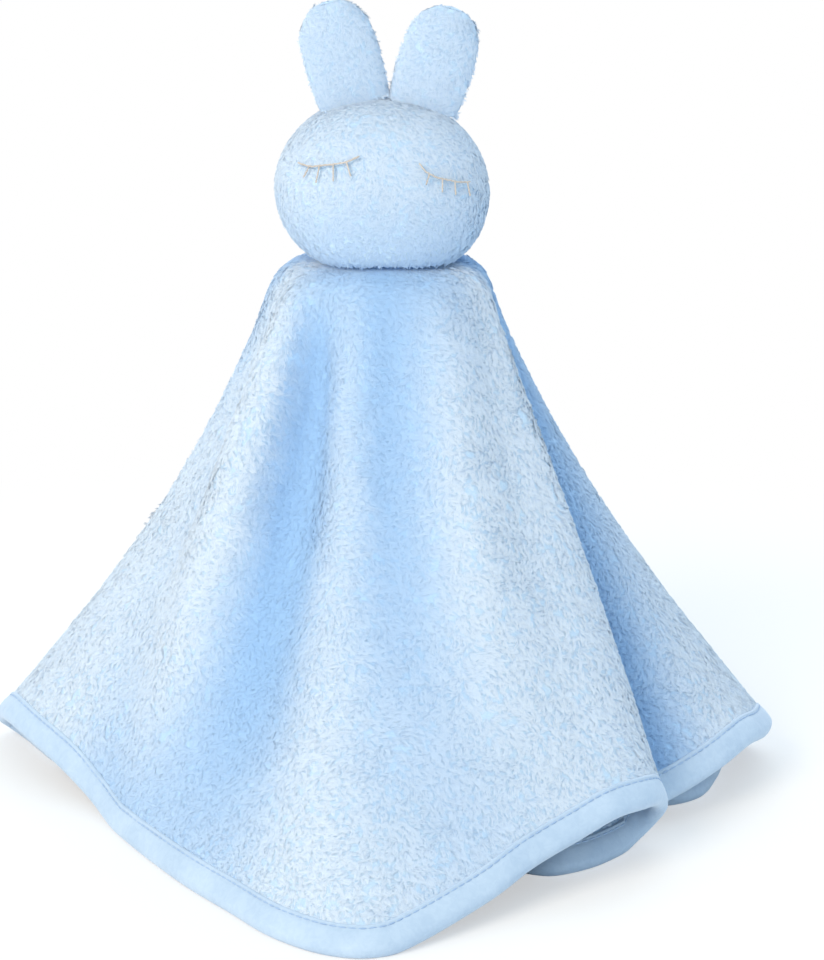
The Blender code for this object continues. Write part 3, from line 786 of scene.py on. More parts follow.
@dataclass
class DrapedBlanket:
    """The square of double plush, laid over a dome at its middle and hanging in folds to the floor."""

    side: float = 400 * MM
    neck: tuple[float, float, float] = (*PIVOT[:2], 0.0)
    pivot: float = PIVOT[2]
    dome: float = 97.8 * MM
    neck_radius: float = 34.5 * MM
    rest: float = 2.8 * MM
    half: float = 1.9 * MM
    flare: float = 0.27
    columns: int = 680
    crown_share: float = 0.04
    dome_rows: int = 12
    drape_rows: int = 84
    rounded_rows: tuple[int, int] = (6, 8)
    roundings: int = 14
    inner_step: int = 3
    fine: int = 10
    even_share: float = 0.35
    # How widely the relief is evened to find the painted fold shade, and the relief at which it is none and
    # full
    painted_shade_reach: float = 160 / TAU
    ridge_to_pit: tuple[float, float] = (11 * MM, -3 * MM)
    gather: float = 1.2 * MM
    gathered: tuple[float, float, float] = (0.7, 0.2, 0.12)
    bare_crown: float = 20 * MM
    bare_inside: float = 110 * MM
    taped: float = 5.5 * MM
    at: Array = field(init=False)
    middle: Array = field(init=False)
    normals: Array = field(init=False)
    painted_shade_share: Array = field(init=False)
    edge: Array = field(init=False)

    def __post_init__(self) -> None:
        """Works out the middle surface, its normals and painted fold shade, and the directions off the hem.
        """
        place, tuck, bearing = self.hem()
        self.at = self.columns_at(place)
        rows = [self.on_dome(bearing, self.neck_radius * share) for share in self.crowns()]
        rows += [self.hanging(place, tuck, bearing, down) for down in self.down()[self.dome_rows:, 0]]
        surface = np.stack(rows)
        near = slice(self.dome_rows - self.rounded_rows[0], self.dome_rows + self.rounded_rows[1])
        for _ in range(self.roundings):
            between = (surface[:-2] + 2 * surface[1:-1] + surface[2:]) / 4
            surface[near] = between[near.start - 1:near.stop - 1]
        turn = np.arctan2(surface[self.dome_rows - 1, :, 0], -surface[self.dome_rows - 1, :, 1])
        surface += self.facing(surface) * self.relief()[..., None]
        surface[:, :, 2] += self.shoulders(turn)
        self.middle = surface + np.array(self.neck)
        self.normals = self.facing(self.middle)
        self.painted_shade_share = self.painted_shade_shares()
        run = unit(np.roll(self.middle[-1], -1, axis=0) - np.roll(self.middle[-1], 1, axis=0))
        self.edge = unit(np.cross(run, self.normals[-1]))

    def hem(self) -> tuple[Array, Array, Array]:
        """Reads the stations finely, evenly by station.

        Returns:
            The hem's points, the tucks and the neck bearings.
        """
        table = np.array(HEM_STATIONS, float)
        count = len(table)
        turned = np.radians(table[:, 4])
        at = np.arange(count * self.fine) / self.fine
        drift = turned - np.arange(count) * TAU / count
        values = np.column_stack([table[:, 0] * MM, -table[:, 1] * MM, self.rest + table[:, 2] * MM,
                                  table[:, 3] * MM, drift])
        fine = closed_curve(values, np.arange(count, dtype=float), float(count), at)
        fine[:, 2] = np.maximum(fine[:, 2], self.rest)
        return fine[:, :3], fine[:, 3], fine[:, 4] + at * TAU / count

    def columns_at(self, hem: Array) -> Array:
        """Spaces the columns evenly along the hem.

        Args:
            hem: The hem's fine points.

        Returns:
            The place of each column among the fine points.
        """
        step = np.linalg.norm(np.roll(hem, -1, axis=0) - hem, axis=1)
        step = step + self.even_share * step.mean()
        run = np.concatenate([[0], np.cumsum(step)])
        return np.interp(np.arange(self.columns) / self.columns * run[-1], run, np.arange(len(hem) + 1))

    def read(self, line: Array, at: Array) -> Array:
        """Reads a closed line between its points.

        Args:
            line: The line's points.
            at: Where to read it, in points.

        Returns:
            The values there.
        """
        low = np.floor(at).astype(int)
        share = (at - low)[:, None]
        return line[low % len(line)] * (1 - share) + line[(low + 1) % len(line)] * share

    def on_dome(self, bearing: Array, radius: float) -> Array:
        """A ring on the dome, with a point for each column.

        Args:
            bearing: The fine points' bearings.
            radius: The ring's radius.

        Returns:
            The ring's points, from the middle of the neck.
        """
        turn = np.interp(self.at, np.arange(len(bearing) + 1), np.append(bearing, bearing[0] + TAU))
        height = self.pivot + math.sqrt(self.dome**2 - radius**2)
        return np.column_stack([radius * np.sin(turn), -radius * np.cos(turn), np.full(len(turn), height)])

    def hanging(self, hem: Array, tuck: Array, bearing: Array, down: float) -> Array:
        """A row of the drape.

        Args:
            hem: The hem's fine points.
            tuck: The tucks there.
            bearing: The bearings there.
            down: The share of the way from neck to hem.

        Returns:
            The row's points, from the middle of the neck.
        """
        rounds = np.interp(down, *zip(*EVENING))
        even = evened(hem, self.fine * math.sqrt(rounds / 2))
        neck = self.on_dome(bearing, self.neck_radius)
        across = (1 - self.flare) * down + self.flare * down**2
        row = neck + (self.read(even, self.at) - neck) * np.array((across, across, down))
        away = unit(row[:, :2])
        pull = self.read(tuck[:, None], self.at) * math.sin(math.pi * down**0.8)
        row[:, :2] -= away * pull
        return row

    def relief(self) -> Array:
        """How far the folds stand out of the drape.

        Returns:
            The height at each point of the grid.
        """
        height = np.zeros((self.dome_rows + self.drape_rows, self.columns))
        for start, end, rise, width, peak in FOLDS:
            swell = np.sin(math.pi * self.down() ** (math.log(0.5) / math.log(peak)))
            height += rise * MM * swell * self.beside(start, end, width)
        return height

    def crowns(self) -> Array:
        """The share of the way from the crown to the neck of each row of the dome."""
        return np.linspace(self.crown_share, 1, self.dome_rows)

    def down(self) -> Array:
        """The share of the way from neck to hem of each row."""
        return np.concatenate([np.zeros(self.dome_rows), np.linspace(0, 1, self.drape_rows + 1)[1:]])[:, None]

    def beside(self, start: float, end: float, width: float) -> Array:
        """How near each point of the grid is to a line that runs down the drape.

        Args:
            start: The line's station at the neck.
            end: Its station at the hem.
            width: The half width, in stations.

        Returns:
            From 0 far away to 1 on the line.
        """
        half = len(HEM_STATIONS) / 2
        off = (self.at / self.fine - start - (end - start) * self.down() + half) % len(HEM_STATIONS) - half
        return np.exp(-((off / width) ** 2))

    def shoulders(self, bearing: Array) -> Array:
        """How far the gathered cloth stands up at both sides of the neck.

        Args:
            bearing: Each column's bearing.

        Returns:
            The lift at each point of the grid.
        """
        start, rise, fall = self.gathered
        drape = 1 - ramp(self.down()[self.dome_rows:, 0], 0, fall)
        rows = eased(np.concatenate([ramp(self.crowns(), start, rise), drape]))
        return self.gather * rows[:, None] * np.abs(np.sin(bearing)) ** 4

    def painted_shade_shares(self) -> Array:
        """The painted fold shade at each point of the grid, with bands of painted light and shade added.

        Returns:
            From 0, no painted shade, on the ridges, to 1 in the valleys of the folds.
        """
        out = ((self.middle - evened(self.middle, self.painted_shade_reach)) * self.normals).sum(axis=2)
        ridge, pit = self.ridge_to_pit
        share = (ridge - out) / (ridge - pit)
        for start, end, deeper, width in PAINTED_LIGHT_AND_SHADE:
            share += deeper * self.beside(start, end, width)
        return eased(np.clip(share, 0, 1))

    def facing(self, surface: Array) -> Array:
        """Outward normals of a grid of points.

        Args:
            surface: The grid, whose rows close on themselves.

        Returns:
            The normals.
        """
        run = np.roll(surface, -1, axis=1) - np.roll(surface, 1, axis=1)
        fall = np.gradient(surface, axis=0)
        return unit(np.cross(unit(fall), unit(run)))

    def coarser(self, rows: Array) -> Array:
        """The rows that the inner skin is made of, down to the hem's own."""
        return rows[::-1][::self.inner_step][::-1]

    def build(self) -> Piece:
        """Builds the blanket and its pile.

        Returns:
            The blanket.
        """
        outer = self.middle + self.normals * self.half
        inner = self.coarser(self.middle - self.normals * self.half)
        rows, columns = outer.shape[:2]
        count, inside = len(inner), rows * columns
        here = np.arange(columns)
        after = (here + 1) % columns
        low, deep, top = inside - columns, inside + (count - 1) * columns, inside + count * columns
        faces = [
            grid_faces(rows, columns), grid_faces(count, columns, inside, True),
            np.stack([low + here, low + after, deep + after, deep + here], 1),
            fan(here, top, True), fan(inside + here, top + 1),
        ]
        crowns = [outer[0].mean(axis=0), inner[0].mean(axis=0)]
        points = np.concatenate([outer.reshape(-1, 3), inner.reshape(-1, 3), crowns])
        blanket = add_mesh("blanket_plush", points, faces, BLANKET_PLUSH.material())
        # Painted fold shade, on the inner skin the other way round from the outer
        within = self.coarser(1 - self.painted_shade_share)
        painted_shade_share = blanket.data.attributes.new(PAINTED_SHADE, "FLOAT", "POINT")
        painted_shade_share.data.foreach_set("value", np.concatenate([self.painted_shade_share.ravel(), within.ravel(), [0, 0]]))
        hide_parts("blanket_cloth")
        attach(blanket, Body.BLANKET.value)
        self.grow_pile(blanket, outer, inner)
        return blanket

    def grow_pile(self, blanket: Piece, outer: Array, inner: Array) -> None:
        """Grows pile on both skins, but not under the head, under the tape or high up inside.

        Args:
            blanket: The blanket, which the pile moves with.
            outer: The outer skin's points.
            inner: The inner skin's points.
        """
        fibres = FIBRES.material()
        lay = unit(np.gradient(outer, axis=0))
        off_middle = np.linalg.norm(outer[:, :, :2] - np.array(self.neck[:2]), axis=2)
        share = ramp(off_middle, self.bare_crown, 12 * MM) * self.off_hem(outer)
        coat = PileCoat("blanket_pile_outside", 1.15 * MM)
        coat.grow(Skin.from_grid(outer, self.normals, lay, share, self.painted_shade_share), blanket, fibres)
        low = ramp(-inner[:, :, 2], -self.bare_inside, 20 * MM) * self.off_hem(inner)
        lay, normals = unit(np.gradient(inner, axis=0)), self.coarser(-self.normals)
        within = self.coarser(1 - self.painted_shade_share)
        inside = PileCoat("blanket_pile_inside", 2.1 * MM, seed=23)
        inside.grow(Skin.from_grid(inner, normals, lay, low, within), blanket, fibres)

    def off_hem(self, skin: Array) -> Array:
        """The share of pile that the tape leaves at each point of a skin."""
        return ramp(np.linalg.norm(skin - skin[-1], axis=2), self.taped, 2 * MM)


@dataclass
class EdgeBinding:
    """Tape folded over the hem, with a row of stitches near its inner edge on both sides."""

    blanket: DrapedBlanket
    cover: float = 6.8 * MM
    reach: float = 3.3 * MM
    inner: float = 1.95 * MM
    seam: float = 5.3 * MM
    stitch: float = 2.5 * MM
    pitch: float = 3.2 * MM
    thread: float = 0.24 * MM

    def profile(self) -> Pairs:
        """The folded tape in section.

        Returns:
            Distance past the hem and out from mid cloth, all the way round.
        """
        full = self.reach
        lip = [(-self.cover, self.inner), (-self.cover, full - 0.7 * MM),
               (-self.cover + 0.4 * MM, full - 0.25 * MM)]
        flat = [(-self.seam - 0.6 * MM, full - 0.1 * MM), (-self.seam, full - 0.45 * MM),
                (-self.seam + 0.7 * MM, full - 0.05 * MM), (-3.2 * MM, full + 0.1 * MM),
                (-1.4 * MM, full + 0.1 * MM)]
        turns = np.radians(np.linspace(90, 0, 7))
        nose = [(full * math.cos(turn), full * math.sin(turn)) for turn in turns]
        half = lip + flat + nose
        under = [(past, -out) for past, out in reversed(half[:-1])]
        inside = [(-2.0 * MM, -self.inner), (1.2 * MM, -0.9 * MM), (1.2 * MM, 0.9 * MM),
                  (-2.0 * MM, self.inner)]
        return tuple(half + under + inside)

    def build(self) -> list[Piece]:
        """Builds the tape and its stitches.

        Returns:
            Both pieces.
        """
        hem, normals, edge = self.blanket.middle[-1], self.blanket.normals[-1], self.blanket.edge
        pull = 1 + 0.03 * np.sin(run_along(hem) / self.pitch * TAU) + 0.035 * waves(hem, 16 * MM, 5)
        loops = []
        for past, out in self.profile():
            lift = (out * pull)[:, None] if abs(out) > self.inner else out
            loops.append(hem + edge * past + normals * lift)
        points = np.stack(loops)
        points[:, :, 2] = np.maximum(points[:, :, 2], 0)
        rows, columns = points.shape[:2]
        faces = grid_faces(rows + 1, columns) % (rows * columns)
        tape = add_mesh("hem_tape", points.reshape(-1, 3), [faces], TAPE.material())
        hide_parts("edge_binding")
        stitches = self.sew(hem, normals, edge)
        for piece in (tape, stitches):
            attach(piece, Body.BLANKET.value)
        return [tape, stitches]

    def sew(self, hem: Array, normals: Array, edge: Array) -> Piece:
        """Lays the stitches.

        Args:
            hem: The hem's points.
            normals: The cloth's normals there.
            edge: The directions off the hem.

        Returns:
            All the stitches as one piece.
        """
        lines = []
        for side in (1, -1):
            line = hem - edge * self.seam + normals * side * (self.reach - 0.32 * MM)
            line[:, 2] = np.maximum(line[:, 2], self.thread)
            lines.append((line, normals * side))
        return thread_piece("hem_topstitches", [
            stitch for line, out in lines for stitch in stitches_along(line, out, self.pitch, self.stitch)
        ], self.thread, TAPE_THREAD.material())


def stitches_along(line: Array, out: Array, pitch: float, length: float) -> list[Array]:
    """Cuts a closed line into separate stitches.

    Args:
        line: The line's points.
        out: The directions off the surface.
        pitch: The distance from one stitch to the next.
        length: A stitch's length.

    Returns:
        Five points along the middle of each stitch.
    """
    ring = np.concatenate([line, line[:1]])
    rises = np.concatenate([out, out[:1]])
    run = run_along(ring)
    count = int(run[-1] / pitch)
    starts = np.arange(count) * run[-1] / count
    stitches = []
    for start in starts:
        shares = np.linspace(0, 1, 5)
        at = start + shares * length
        points = np.stack([np.interp(at, run, ring[:, axis]) for axis in range(3)], 1)
        lift = np.stack([np.interp(at, run, rises[:, axis]) for axis in range(3)], 1)
        arch = np.sin(math.pi * shares) * 0.12 * MM
        stitches.append(points + lift * arch[:, None])
    return stitches


def thread_piece(name: str, paths: list[Array], radius: float, material: Material,
                 sides: int = 6) -> Piece:
    """Makes one mesh of many short lengths of thread with rounded ends.

    Args:
        name: The piece's name.
        paths: The points along each length.
        radius: The thread's radius.
        material: The thread's finish.
        sides: How many sides the thread has.

    Returns:
        The piece.
    """
    points, faces, first = [], [], 0
    turns = np.arange(sides) * TAU / sides
    for path in paths:
        count = len(path)
        along = unit(np.gradient(path, axis=0))
        side = unit(np.cross(along, np.array((0.31, 0.17, 0.94))))
        other = np.cross(along, side)
        width = radius * np.sqrt(np.clip(1 - np.abs(np.linspace(-1, 1, count)) ** 4 * 0.8, 0.05, 1))
        rings = path[:, None] + width[:, None, None] * (
            side[:, None] * np.cos(turns)[:, None] + other[:, None] * np.sin(turns)[:, None])
        tips = [path[0] - along[0] * radius * 0.5, path[-1] + along[-1] * radius * 0.5]
        points.extend([rings.reshape(-1, 3), np.array(tips)])
        last = first + (count - 1) * sides
        start, end = first + count * sides, first + count * sides + 1
        here = np.arange(sides)
        faces += [grid_faces(count, sides, first), fan(first + here, start, True), fan(last + here, end)]
        first += count * sides + 2
    return add_mesh(name, np.concatenate(points), faces, material)


# Padded forms


@dataclass(frozen=True)
class Padding:
    """How a stuffed cover swells between its seams."""

    pressure: float = 4.0
    frames: int = 20
    cap: float = 3 * MM

    def swell(self, piece: Piece, held: Array) -> None:
        """Runs the cloth and keeps the swollen shape.

        Args:
            piece: The cover.
            held: The numbers of the points that the seams hold.
        """
        mesh, before = piece.data, points_of(piece)
        group = piece.vertex_groups.new(name="seams")
        group.add([int(number) for number in held], 1.0, "REPLACE")
        cloth = piece.modifiers.new("stuffing", "CLOTH")
        cloth.settings.use_pressure = True
        cloth.settings.uniform_pressure_force = self.pressure
        cloth.settings.effector_weights.gravity = 0
        cloth.settings.vertex_group_mass = "seams"
        cloth.settings.quality = 6
        cloth.collision_settings.use_collision = False
        cloth.collision_settings.use_self_collision = False
        cloth.point_cache.frame_start = 1
        cloth.point_cache.frame_end = self.frames
        scene = bpy.context.scene
        for number in range(1, self.frames + 1):
            scene.frame_set(number)
        made = piece.evaluated_get(bpy.context.evaluated_depsgraph_get()).data
        move = np.array([vertex.co for vertex in made.vertices]) - before
        far = np.linalg.norm(move, axis=1, keepdims=True)
        move *= np.tanh(far / self.cap) * self.cap / np.maximum(far, 1e-9)
        log.info("%s: swelled by up to %.1f mm", piece.name, far.max() / MM)
        piece.modifiers.clear()
        piece.vertex_groups.clear()
        mesh.vertices.foreach_set("co", (before + move).ravel())
        mesh.update()
        scene.frame_set(1)


def refined(piece: Piece, levels: int) -> None:
    """Subdivides a piece's mesh for good.

    Args:
        piece: The piece.
        levels: How many times.
    """
    surface = piece.modifiers.new("fine", "SUBSURF")
    surface.levels = levels
    mesh = bpy.data.meshes.new_from_object(piece.evaluated_get(bpy.context.evaluated_depsgraph_get()))
    piece.modifiers.clear()
    piece.data = mesh


@dataclass
class PaddedHead:
    """The stuffed head: a flattened ball of four panels that meet in seams at the middle of each side."""

    centre: tuple[float, float, float] = (1 * MM, 5.5 * MM, 205 * MM)
    size: tuple[float, float, float] = (75 * MM, 57 * MM, 61 * MM)
    squareness: float = 2.25
    jowl: float = 2.2
    crown: float = 0.0032
    roll: float = math.radians(5)
    turn: float = math.radians(4)
    pivot: float = 83 * MM
    seat: float = 101.3 * MM
    slack: float = 1.0 * MM
    cuts: int = 20

    def frame(self) -> Matrix:
        """The head's own axes, in the frame's."""
        place = Matrix.Translation(self.centre)
        return place @ Matrix.Rotation(self.turn, 4, "Z") @ Matrix.Rotation(self.roll, 4, "Y")

    def reach(self, ways: Array, inset: float = 0.0) -> Array:
        """Points of the head's form in given directions, fuller in its lower half, most at the chin.

        Args:
            ways: Unit directions in the head's axes.
            inset: How far inside the form they lie.

        Returns:
            The points, in the head's axes.
        """
        across = np.maximum(np.hypot(ways[:, 1], ways[:, 2]), 1e-6)
        low = np.clip(-ways[:, 2] / across / 0.5, 0, 1)
        square = self.squareness + self.jowl * eased(low) * (0.6 - 0.4 * ways[:, 1] / across)
        deep = (np.abs(ways[:, 1]) ** square + np.abs(ways[:, 2]) ** square) ** (self.squareness / square)
        far = (np.abs(ways[:, 0]) ** self.squareness + deep) ** (-1 / self.squareness)
        points = ways * far[:, None] * (np.array(self.size) / 2 - inset)
        points[:, 0] *= self.narrowed(points[:, 2])
        return points

    def narrowed(self, up: Array | float) -> Array | float:
        """The share of its full width that the head has at a height above its middle."""
        return 1 - self.crown * np.maximum(up, 0) / MM

    def outside(self, points: Array) -> Array:
        """Carries points from the head's axes to the frame's."""
        matrix = np.array(self.frame())
        return points @ matrix[:3, :3].T + matrix[:3, 3]

    def seated(self, points: Array) -> Array:
        """Lifts the points that would sink into the dome.

        Args:
            points: Points in the frame's axes.

        Returns:
            The points, none of them inside the dome.
        """
        middle = np.array((self.centre[0], self.centre[1], self.pivot))
        away = points - middle
        far = np.linalg.norm(away, axis=1, keepdims=True)
        return middle + away * np.maximum(far, self.seat) / far

    def build(self) -> Piece:
        """Builds the head's cover and its pile.

        Returns:
            The cover.
        """
        bm = bmesh.new()
        bmesh.ops.create_cube(bm, size=2)
        bmesh.ops.subdivide_edges(bm, edges=bm.edges, cuts=self.cuts - 1, use_grid_fill=True)
        ways = np.array([vertex.co for vertex in bm.verts])
        ways = unit(np.tan(ways * math.pi / 4 * 0.999))
        faces = [np.array([[vertex.index for vertex in face.verts] for face in bm.faces])]
        bm.free()
        points = self.seated(self.outside(self.reach(ways, self.slack)))
        cover = add_mesh("head_cover", points, faces, HEAD_PLUSH.material())
        seam = np.minimum(np.abs(ways[:, 0]), np.abs(ways[:, 1])) < 0.01
        low = ways[:, 2] < -0.86
        Padding().swell(cover, np.flatnonzero(seam | low))
        refined(cover, 2)
        cover.data.vertices.foreach_set("co", self.seated(points_of(cover)).ravel())
        cover.data.update()
        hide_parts("head_front_left", "head_front_right", "head_back_left", "head_back_right",
                    "head_base_panel", "head_stuffing")
        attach(cover, Body.HEAD.value)
        return cover

    def grow_pile(self, cover: Piece, eyes: Array) -> None:
        """Grows short pile, pressed flat round the embroidery.

        Args:
            cover: The cover.
            eyes: Points along the embroidery.
        """
        points = points_of(cover)
        near = np.min(np.linalg.norm(points[:, None] - eyes[None, ::2], axis=2), axis=1)
        share = 0.12 + 0.88 * np.clip((near - 0.9 * MM) / (1.6 * MM), 0, 1)
        middle = np.array((self.centre[0], self.centre[1], self.pivot))
        off_seat = np.linalg.norm(points - middle, axis=1) - self.seat
        share *= np.clip(off_seat / (1.5 * MM), 0, 1)
        coat = PileCoat("head_pile", 0.95 * MM, fibres=7, rise=0.6 * MM, reach=2.0 * MM, curl=0.4 * MM,
                        tuft=0.7 * MM, fibre=0.08 * MM, seed=41)
        # Painted shade: the pile's colour deepens towards the head's underside, over a slight deepening all
        # over
        low = np.clip((self.centre[2] + 4 * MM - points[:, 2]) / (30 * MM), 0, 1)
        skin = Skin.from_piece(cover, share, Vector((0.1, -0.2, -1)), 0.12 + 0.6 * low)
        coat.grow(skin, cover, FIBRES.material())


# An ear's outline from its seat to where it rounds off: shares of length, width and thickness
EAR_OUTLINE = (
    (0.00, 0.92, 0.80), (0.12, 0.96, 0.90), (0.28, 0.99, 0.97), (0.45, 1.00, 1.00), (0.60, 0.97, 0.98),
)


@dataclass
class Ear:
    """A stuffed ear of two panels, hinged at its seat on the head."""

    side: Side
    splay: float
    length: float = 33.8 * MM
    width: float = 27 * MM
    thickness: float = 9.5 * MM
    slack: float = 0.5 * MM
    least: float = 0.4 * MM
    sunk: float = 2.5 * MM
    waist: float = 0.45
    columns: int = 28
    rows: int = 22
    up: Array = field(init=False)

    def build(self) -> Piece:
        """Builds the ear's cover and its pile.

        Returns:
            The cover.
        """
        hinge = joint(f"ear_{self.side.value}_fold")
        along = np.array(hinge["axis"])
        self.up = unit(np.array((0, 0, 1)) - along * along[2])
        out = np.cross(along, self.up)
        middle = np.array(hinge["pos_m"]) + self.up * self.length * self.waist
        cosine, sine = math.cos(self.splay), math.sin(self.splay)
        along, up = along * cosine - self.up * sine, self.up * cosine + along * sine
        seat = middle - up * self.length * self.waist
        angle = np.linspace(0, math.pi / 2, self.rows)[:-1]
        turns = np.arange(self.columns) * TAU / self.columns
        loops = []
        for share in np.sin(angle) * 0.5 + angle / math.pi:
            half = np.array((self.width, self.thickness)) / 2 * self.fullness(share) - self.slack
            half = np.maximum(half, self.least)
            ring = along * (np.cos(turns) * half[0])[:, None] + out * (np.sin(turns) * half[1])[:, None]
            loops.append(seat + up * (-self.sunk + (self.length + self.sunk) * share) + ring)
        count = len(loops)
        points = np.concatenate([*loops, [seat + up * self.length, seat - up * self.sunk]])
        here = np.arange(self.columns)
        tip, foot = count * self.columns, count * self.columns + 1
        faces = [grid_faces(count, self.columns, 0, True), fan(tip - self.columns + here, tip),
                 fan(here, foot, True)]
        cover = add_mesh(f"ear_{self.side.value}_cover", points, faces, HEAD_PLUSH.material())
        seam = np.isin(np.arange(count * self.columns) % self.columns, (0, self.columns // 2))
        held = np.concatenate([np.flatnonzero(seam), here, [tip, foot]])
        Padding(cap=2 * MM).swell(cover, np.unique(held))
        refined(cover, 2)
        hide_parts(*(f"ear_{self.side.value}_{part}" for part in ("front", "back", "filling")))
        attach(cover, Body(f"ear_{self.side.value}").value)
        self.grow_pile(cover)
        return cover

    def fullness(self, share: float) -> Array:
        """How wide and thick the ear is, as the outline says and then rounded off to the tip.

        Args:
            share: How far up the ear.

        Returns:
            The shares of the full width and thickness.
        """
        lengths, *sizes = np.array(EAR_OUTLINE).T
        past = max(0.0, share - lengths[-1]) / (1 - lengths[-1])
        rounded = math.sqrt(max(0.0, 1 - past**2)) ** 0.95
        return np.array([np.interp(share, lengths, size) for size in sizes]) * rounded

    def grow_pile(self, cover: Piece) -> None:
        """Grows short pile on the ear.

        Args:
            cover: The ear's cover.
        """
        out = Vector(np.cross(joint(f"ear_{self.side.value}_fold")["axis"], self.up))
        share = np.array([0.3 + 0.7 * abs(float(vertex.normal @ out)) for vertex in cover.data.vertices])
        coat = PileCoat(f"ear_{self.side.value}_pile", 0.9 * MM, fibres=7, rise=0.6 * MM, reach=2.0 * MM,
                        curl=0.4 * MM, tuft=0.7 * MM, fibre=0.08 * MM,
                        seed=61 if self.side is Side.LEFT else 67)
        coat.grow(Skin.from_piece(cover, share, -Vector(self.up), 0.25), cover, FIBRES.material())


# Closed lids, and the far ends of their lashes with the places on the lid that they start from, in
# millimetres in the head's axes: across and up.
LIDS = {
    Side.LEFT: ((-27.7, 8.4), (-25.4, 8.5), (-23.5, 9.2), (-19.2, 10.3), (-15.0, 11.5), (-10.8, 13.8)),
    Side.RIGHT: ((9.3, 13.1), (11.7, 10.5), (15.4, 8.8), (19.4, 8.0), (23.3, 7.2), (27.4, 7.0)),
}
LASHES = {
    Side.LEFT: (((-27.0, 8.4), (-30.2, 8.6)), ((-26.6, 8.4), (-28.2, 4.4)), ((-23.4, 9.2), (-24.2, 3.4)),
                ((-19.0, 10.3), (-18.7, 4.9)), ((-14.8, 11.5), (-13.1, 7.2))),
    Side.RIGHT: (((13.0, 9.8), (12.1, 6.2)), ((17.6, 8.4), (17.9, 3.9)), ((22.0, 7.5), (22.6, 2.9)),
                 ((26.4, 7.0), (27.8, 2.3))),
}


@dataclass
class EyeEmbroidery:
    """A closed eye in short stitches of beige thread: a lid line and its lashes."""

    side: Side
    head: PaddedHead
    thread: float = 0.30 * MM
    stitch: float = 2.4 * MM
    lift: float = 0.55 * MM

    def on_face(self, across: float, up: float, lift: float) -> Array:
        """A point over the front of the head.

        Args:
            across: Distance to the right of the face's middle.
            up: Distance above the head's middle.
            lift: Distance off the cover.

        Returns:
            The point, in the frame's axes.
        """
        half = np.array(self.head.size) / 2 * np.array((self.head.narrowed(up), 1, 1))
        power = self.head.squareness
        rest = max(0.0, 1 - abs(across / half[0]) ** power - abs(up / half[2]) ** power)
        deep = half[1] * rest ** (1 / power)
        point = np.array((across, -deep, up))
        slope = np.sign(point) * np.abs(point / half) ** (power - 1) / half
        return self.head.outside((point + unit(slope) * lift)[None])[0]

    def line(self, ends: Pairs) -> list[Array]:
        """Overlapping stitches along a line.

        Args:
            ends: The line's corners, in millimetres.

        Returns:
            The points along each stitch.
        """
        corners = np.array(ends) * MM
        run = np.concatenate([[0], np.cumsum(np.linalg.norm(np.diff(corners, axis=0), axis=1))])
        count = max(2, round(run[-1] / self.stitch * 1.5))
        step = run[-1] / count
        stitches = []
        for number in range(count):
            at = np.clip(number * step + np.linspace(-0.25, 1.25, 6) * step, 0, run[-1])
            lean = np.linspace(-0.16, 0.16, 6) * MM * (1 if number % 2 else 0.6)
            path = []
            for place, aside, share in zip(at, lean, np.linspace(0, 1, 6)):
                across = float(np.interp(place, run, corners[:, 0]))
                up = float(np.interp(place, run, corners[:, 1])) + aside
                path.append(self.on_face(across, up, self.lift + 0.18 * MM * math.sin(math.pi * share)))
            stitches.append(np.array(path))
        return stitches

    def build(self) -> tuple[Piece, Array]:
        """Builds the eye.

        Returns:
            The embroidery, and the points that its stitches run through.
        """
        paths = self.line(LIDS[self.side])
        for lash in LASHES[self.side]:
            paths.extend(self.line(lash))
        eye = thread_piece(f"eye_{self.side.value}_stitches", paths, self.thread, EYE_THREAD.material(), 8)
        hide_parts(f"eye_{self.side.value}_embroidery")
        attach(eye, Body.HEAD.value)
        return eye, np.concatenate(paths)


def seen_rays(graph: Graph) -> Signal:
    """Marks the rays that show the background: the camera's own, and those that gloss or glass sends on.

    Args:
        graph: The graph to add to.

    Returns:
        1 for such a ray.
    """
    kinds = ("Camera", "Glossy", "Transmission")
    camera, glossy, through = (graph.node("ShaderNodeLightPath", output=f"Is {kind} Ray") for kind in kinds)
    return camera.maths("MAXIMUM", camera.maths("MAXIMUM", camera, glossy), through)


@dataclass(frozen=True)
class Lamp:
    """A square soft lamp that looks at the toy's lower half."""

    name: str
    power: float
    colour: Colour
    stand: tuple[float, float, float]
    size: float

    def place(self) -> None:
        """Adds the lamp."""
        light = bpy.data.lights.new(self.name, "AREA")
        light.energy, light.color, light.size = self.power, self.colour, self.size
        lamp = bpy.data.objects.new(self.name, light)
        lamp.location = self.stand
        lamp.rotation_euler = (Vector((0, 0, 0.12)) - lamp.location).to_track_quat("-Z", "Y").to_euler()
        bpy.context.scene.collection.objects.link(lamp)


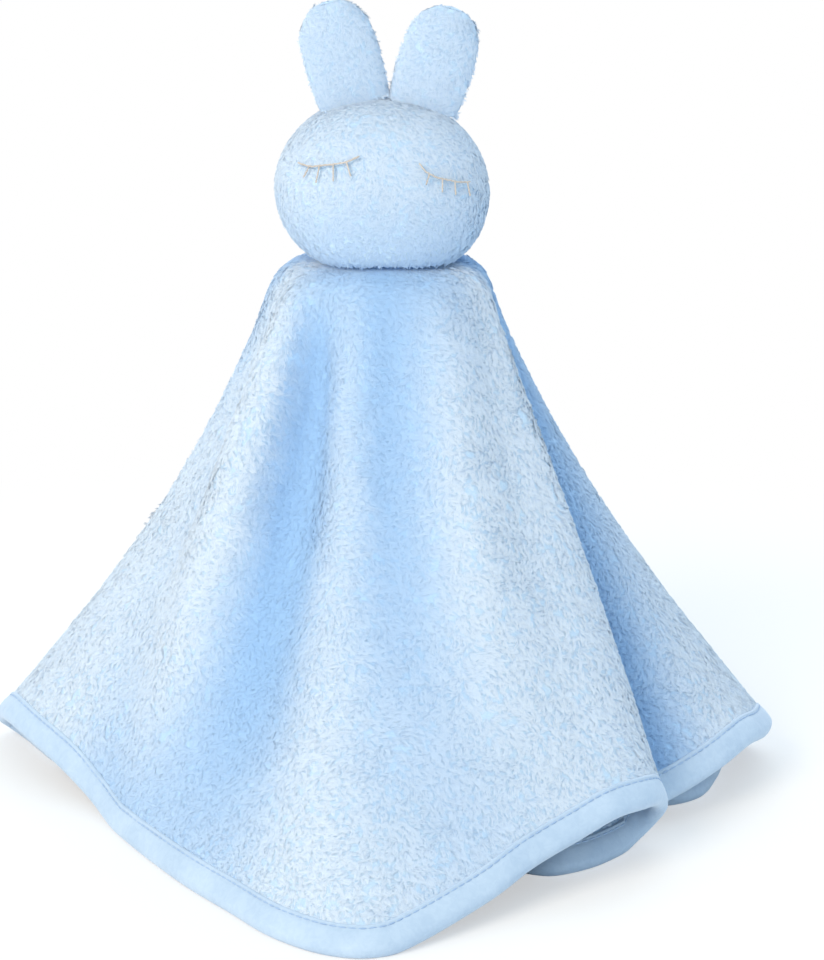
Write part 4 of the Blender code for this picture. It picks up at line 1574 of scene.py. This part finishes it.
@dataclass
class Studio:
    """The floor, the lights and the camera."""

    floor: float = 6.0
    veil: tuple[float, float] = (0.5, 1.0)
    veil_reach: tuple[float, float] = (0.2, 0.4)
    key: Lamp = Lamp("key_light", 43.0, (1.0, 0.82, 0.62), (-1.25, -1.85, 1.6), 1.2)
    back: Lamp = Lamp("back_light", 22.0, (0.95, 0.97, 1.0), (0.5, 2.3, 1.8), 1.8)
    world: float = 0.94
    sky: Colour = (0.72, 0.885, 1.0)
    lens: float = 141.4
    camera: tuple[float, float, float] = (1 * MM, -1270.5 * MM, 453 * MM)
    pitch: float = math.radians(15.47)
    yaw: float = math.radians(0.456)

    def build(self) -> None:
        """Sets the stage."""
        self.lay_floor()
        self.light()
        self.aim()

    def lay_floor(self) -> None:
        """Lays a white floor that shows as white and still takes the shadow."""
        graph = Graph.named("studio_floor")
        card = graph.node("ShaderNodeBsdfDiffuse", {}, {"Color": (0.95, 0.95, 0.95, 1)})
        glow = graph.node("ShaderNodeEmission", {}, {"Color": (1, 1, 1, 1), "Strength": 1.0})
        away = graph.node("ShaderNodeVectorMath", {"operation": "LENGTH"}, {0: graph.place()}, "Value")
        near, far = self.veil
        share = seen_rays(graph) * (near + away.smooth(*self.veil_reach) * (far - near))
        mix = graph.node("ShaderNodeMixShader", {}, {"Fac": share, 1: card, 2: glow})
        material = graph.finish(mix)
        half = self.floor / 2
        points = np.array([(-half, -half, 0), (half, -half, 0), (half, half, 0), (-half, half, 0)])
        floor = add_mesh("studio_floor", points, [np.array([[0, 1, 2, 3]])], material)

    def light(self) -> None:
        """Adds two large soft lamps and a pale world."""
        self.key.place()
        self.back.place()
        graph = Graph(bpy.data.worlds.new("studio_world"))
        soft = graph.node("ShaderNodeBackground", {}, {"Color": (*self.sky, 1), "Strength": self.world})
        white = graph.node("ShaderNodeBackground", {}, {"Color": (1, 1, 1, 1), "Strength": 1.0})
        mix = graph.node("ShaderNodeMixShader", {}, {"Fac": seen_rays(graph), 1: soft, 2: white})
        bpy.context.scene.world = graph.finish(mix, "ShaderNodeOutputWorld")

    def aim(self) -> None:
        """Adds the camera."""
        data = bpy.data.cameras.new("camera")
        data.lens = self.lens
        data.sensor_width = 36
        data.clip_end = 20
        camera = bpy.data.objects.new("camera", data)
        camera.location = self.camera
        camera.rotation_euler = (math.pi / 2 - self.pitch, 0, -self.yaw)
        bpy.context.scene.collection.objects.link(camera)
        bpy.context.scene.camera = camera
        bpy.context.scene.view_settings.view_transform = "Standard"


def dress_ring() -> Piece:
    """Gives the ring of neck stitches its thread.

    Returns:
        The ring.
    """
    ring = frame["nodes"]["neck_stitches"]
    ring.material_slots[0].material = SEAM_THREAD.material()
    return ring


def main() -> None:
    """Builds every piece in order."""
    logging.basicConfig(level=logging.INFO, format="%(message)s")
    blanket = DrapedBlanket()
    cloth = blanket.build()
    trim = EdgeBinding(blanket).build()
    head = PaddedHead()
    cover = head.build()
    eyes, spots = zip(*(EyeEmbroidery(side, head).build() for side in Side))
    head.grow_pile(cover, np.concatenate(spots))
    ears = [Ear(Side.LEFT, math.radians(-3)).build(), Ear(Side.RIGHT, math.radians(6)).build()]
    for piece in (cloth, *trim, cover, *eyes, *ears, dress_ring()):
        log.info("%s ready", piece.name)
    Studio().build()


if __name__ == "__main__":
    main()
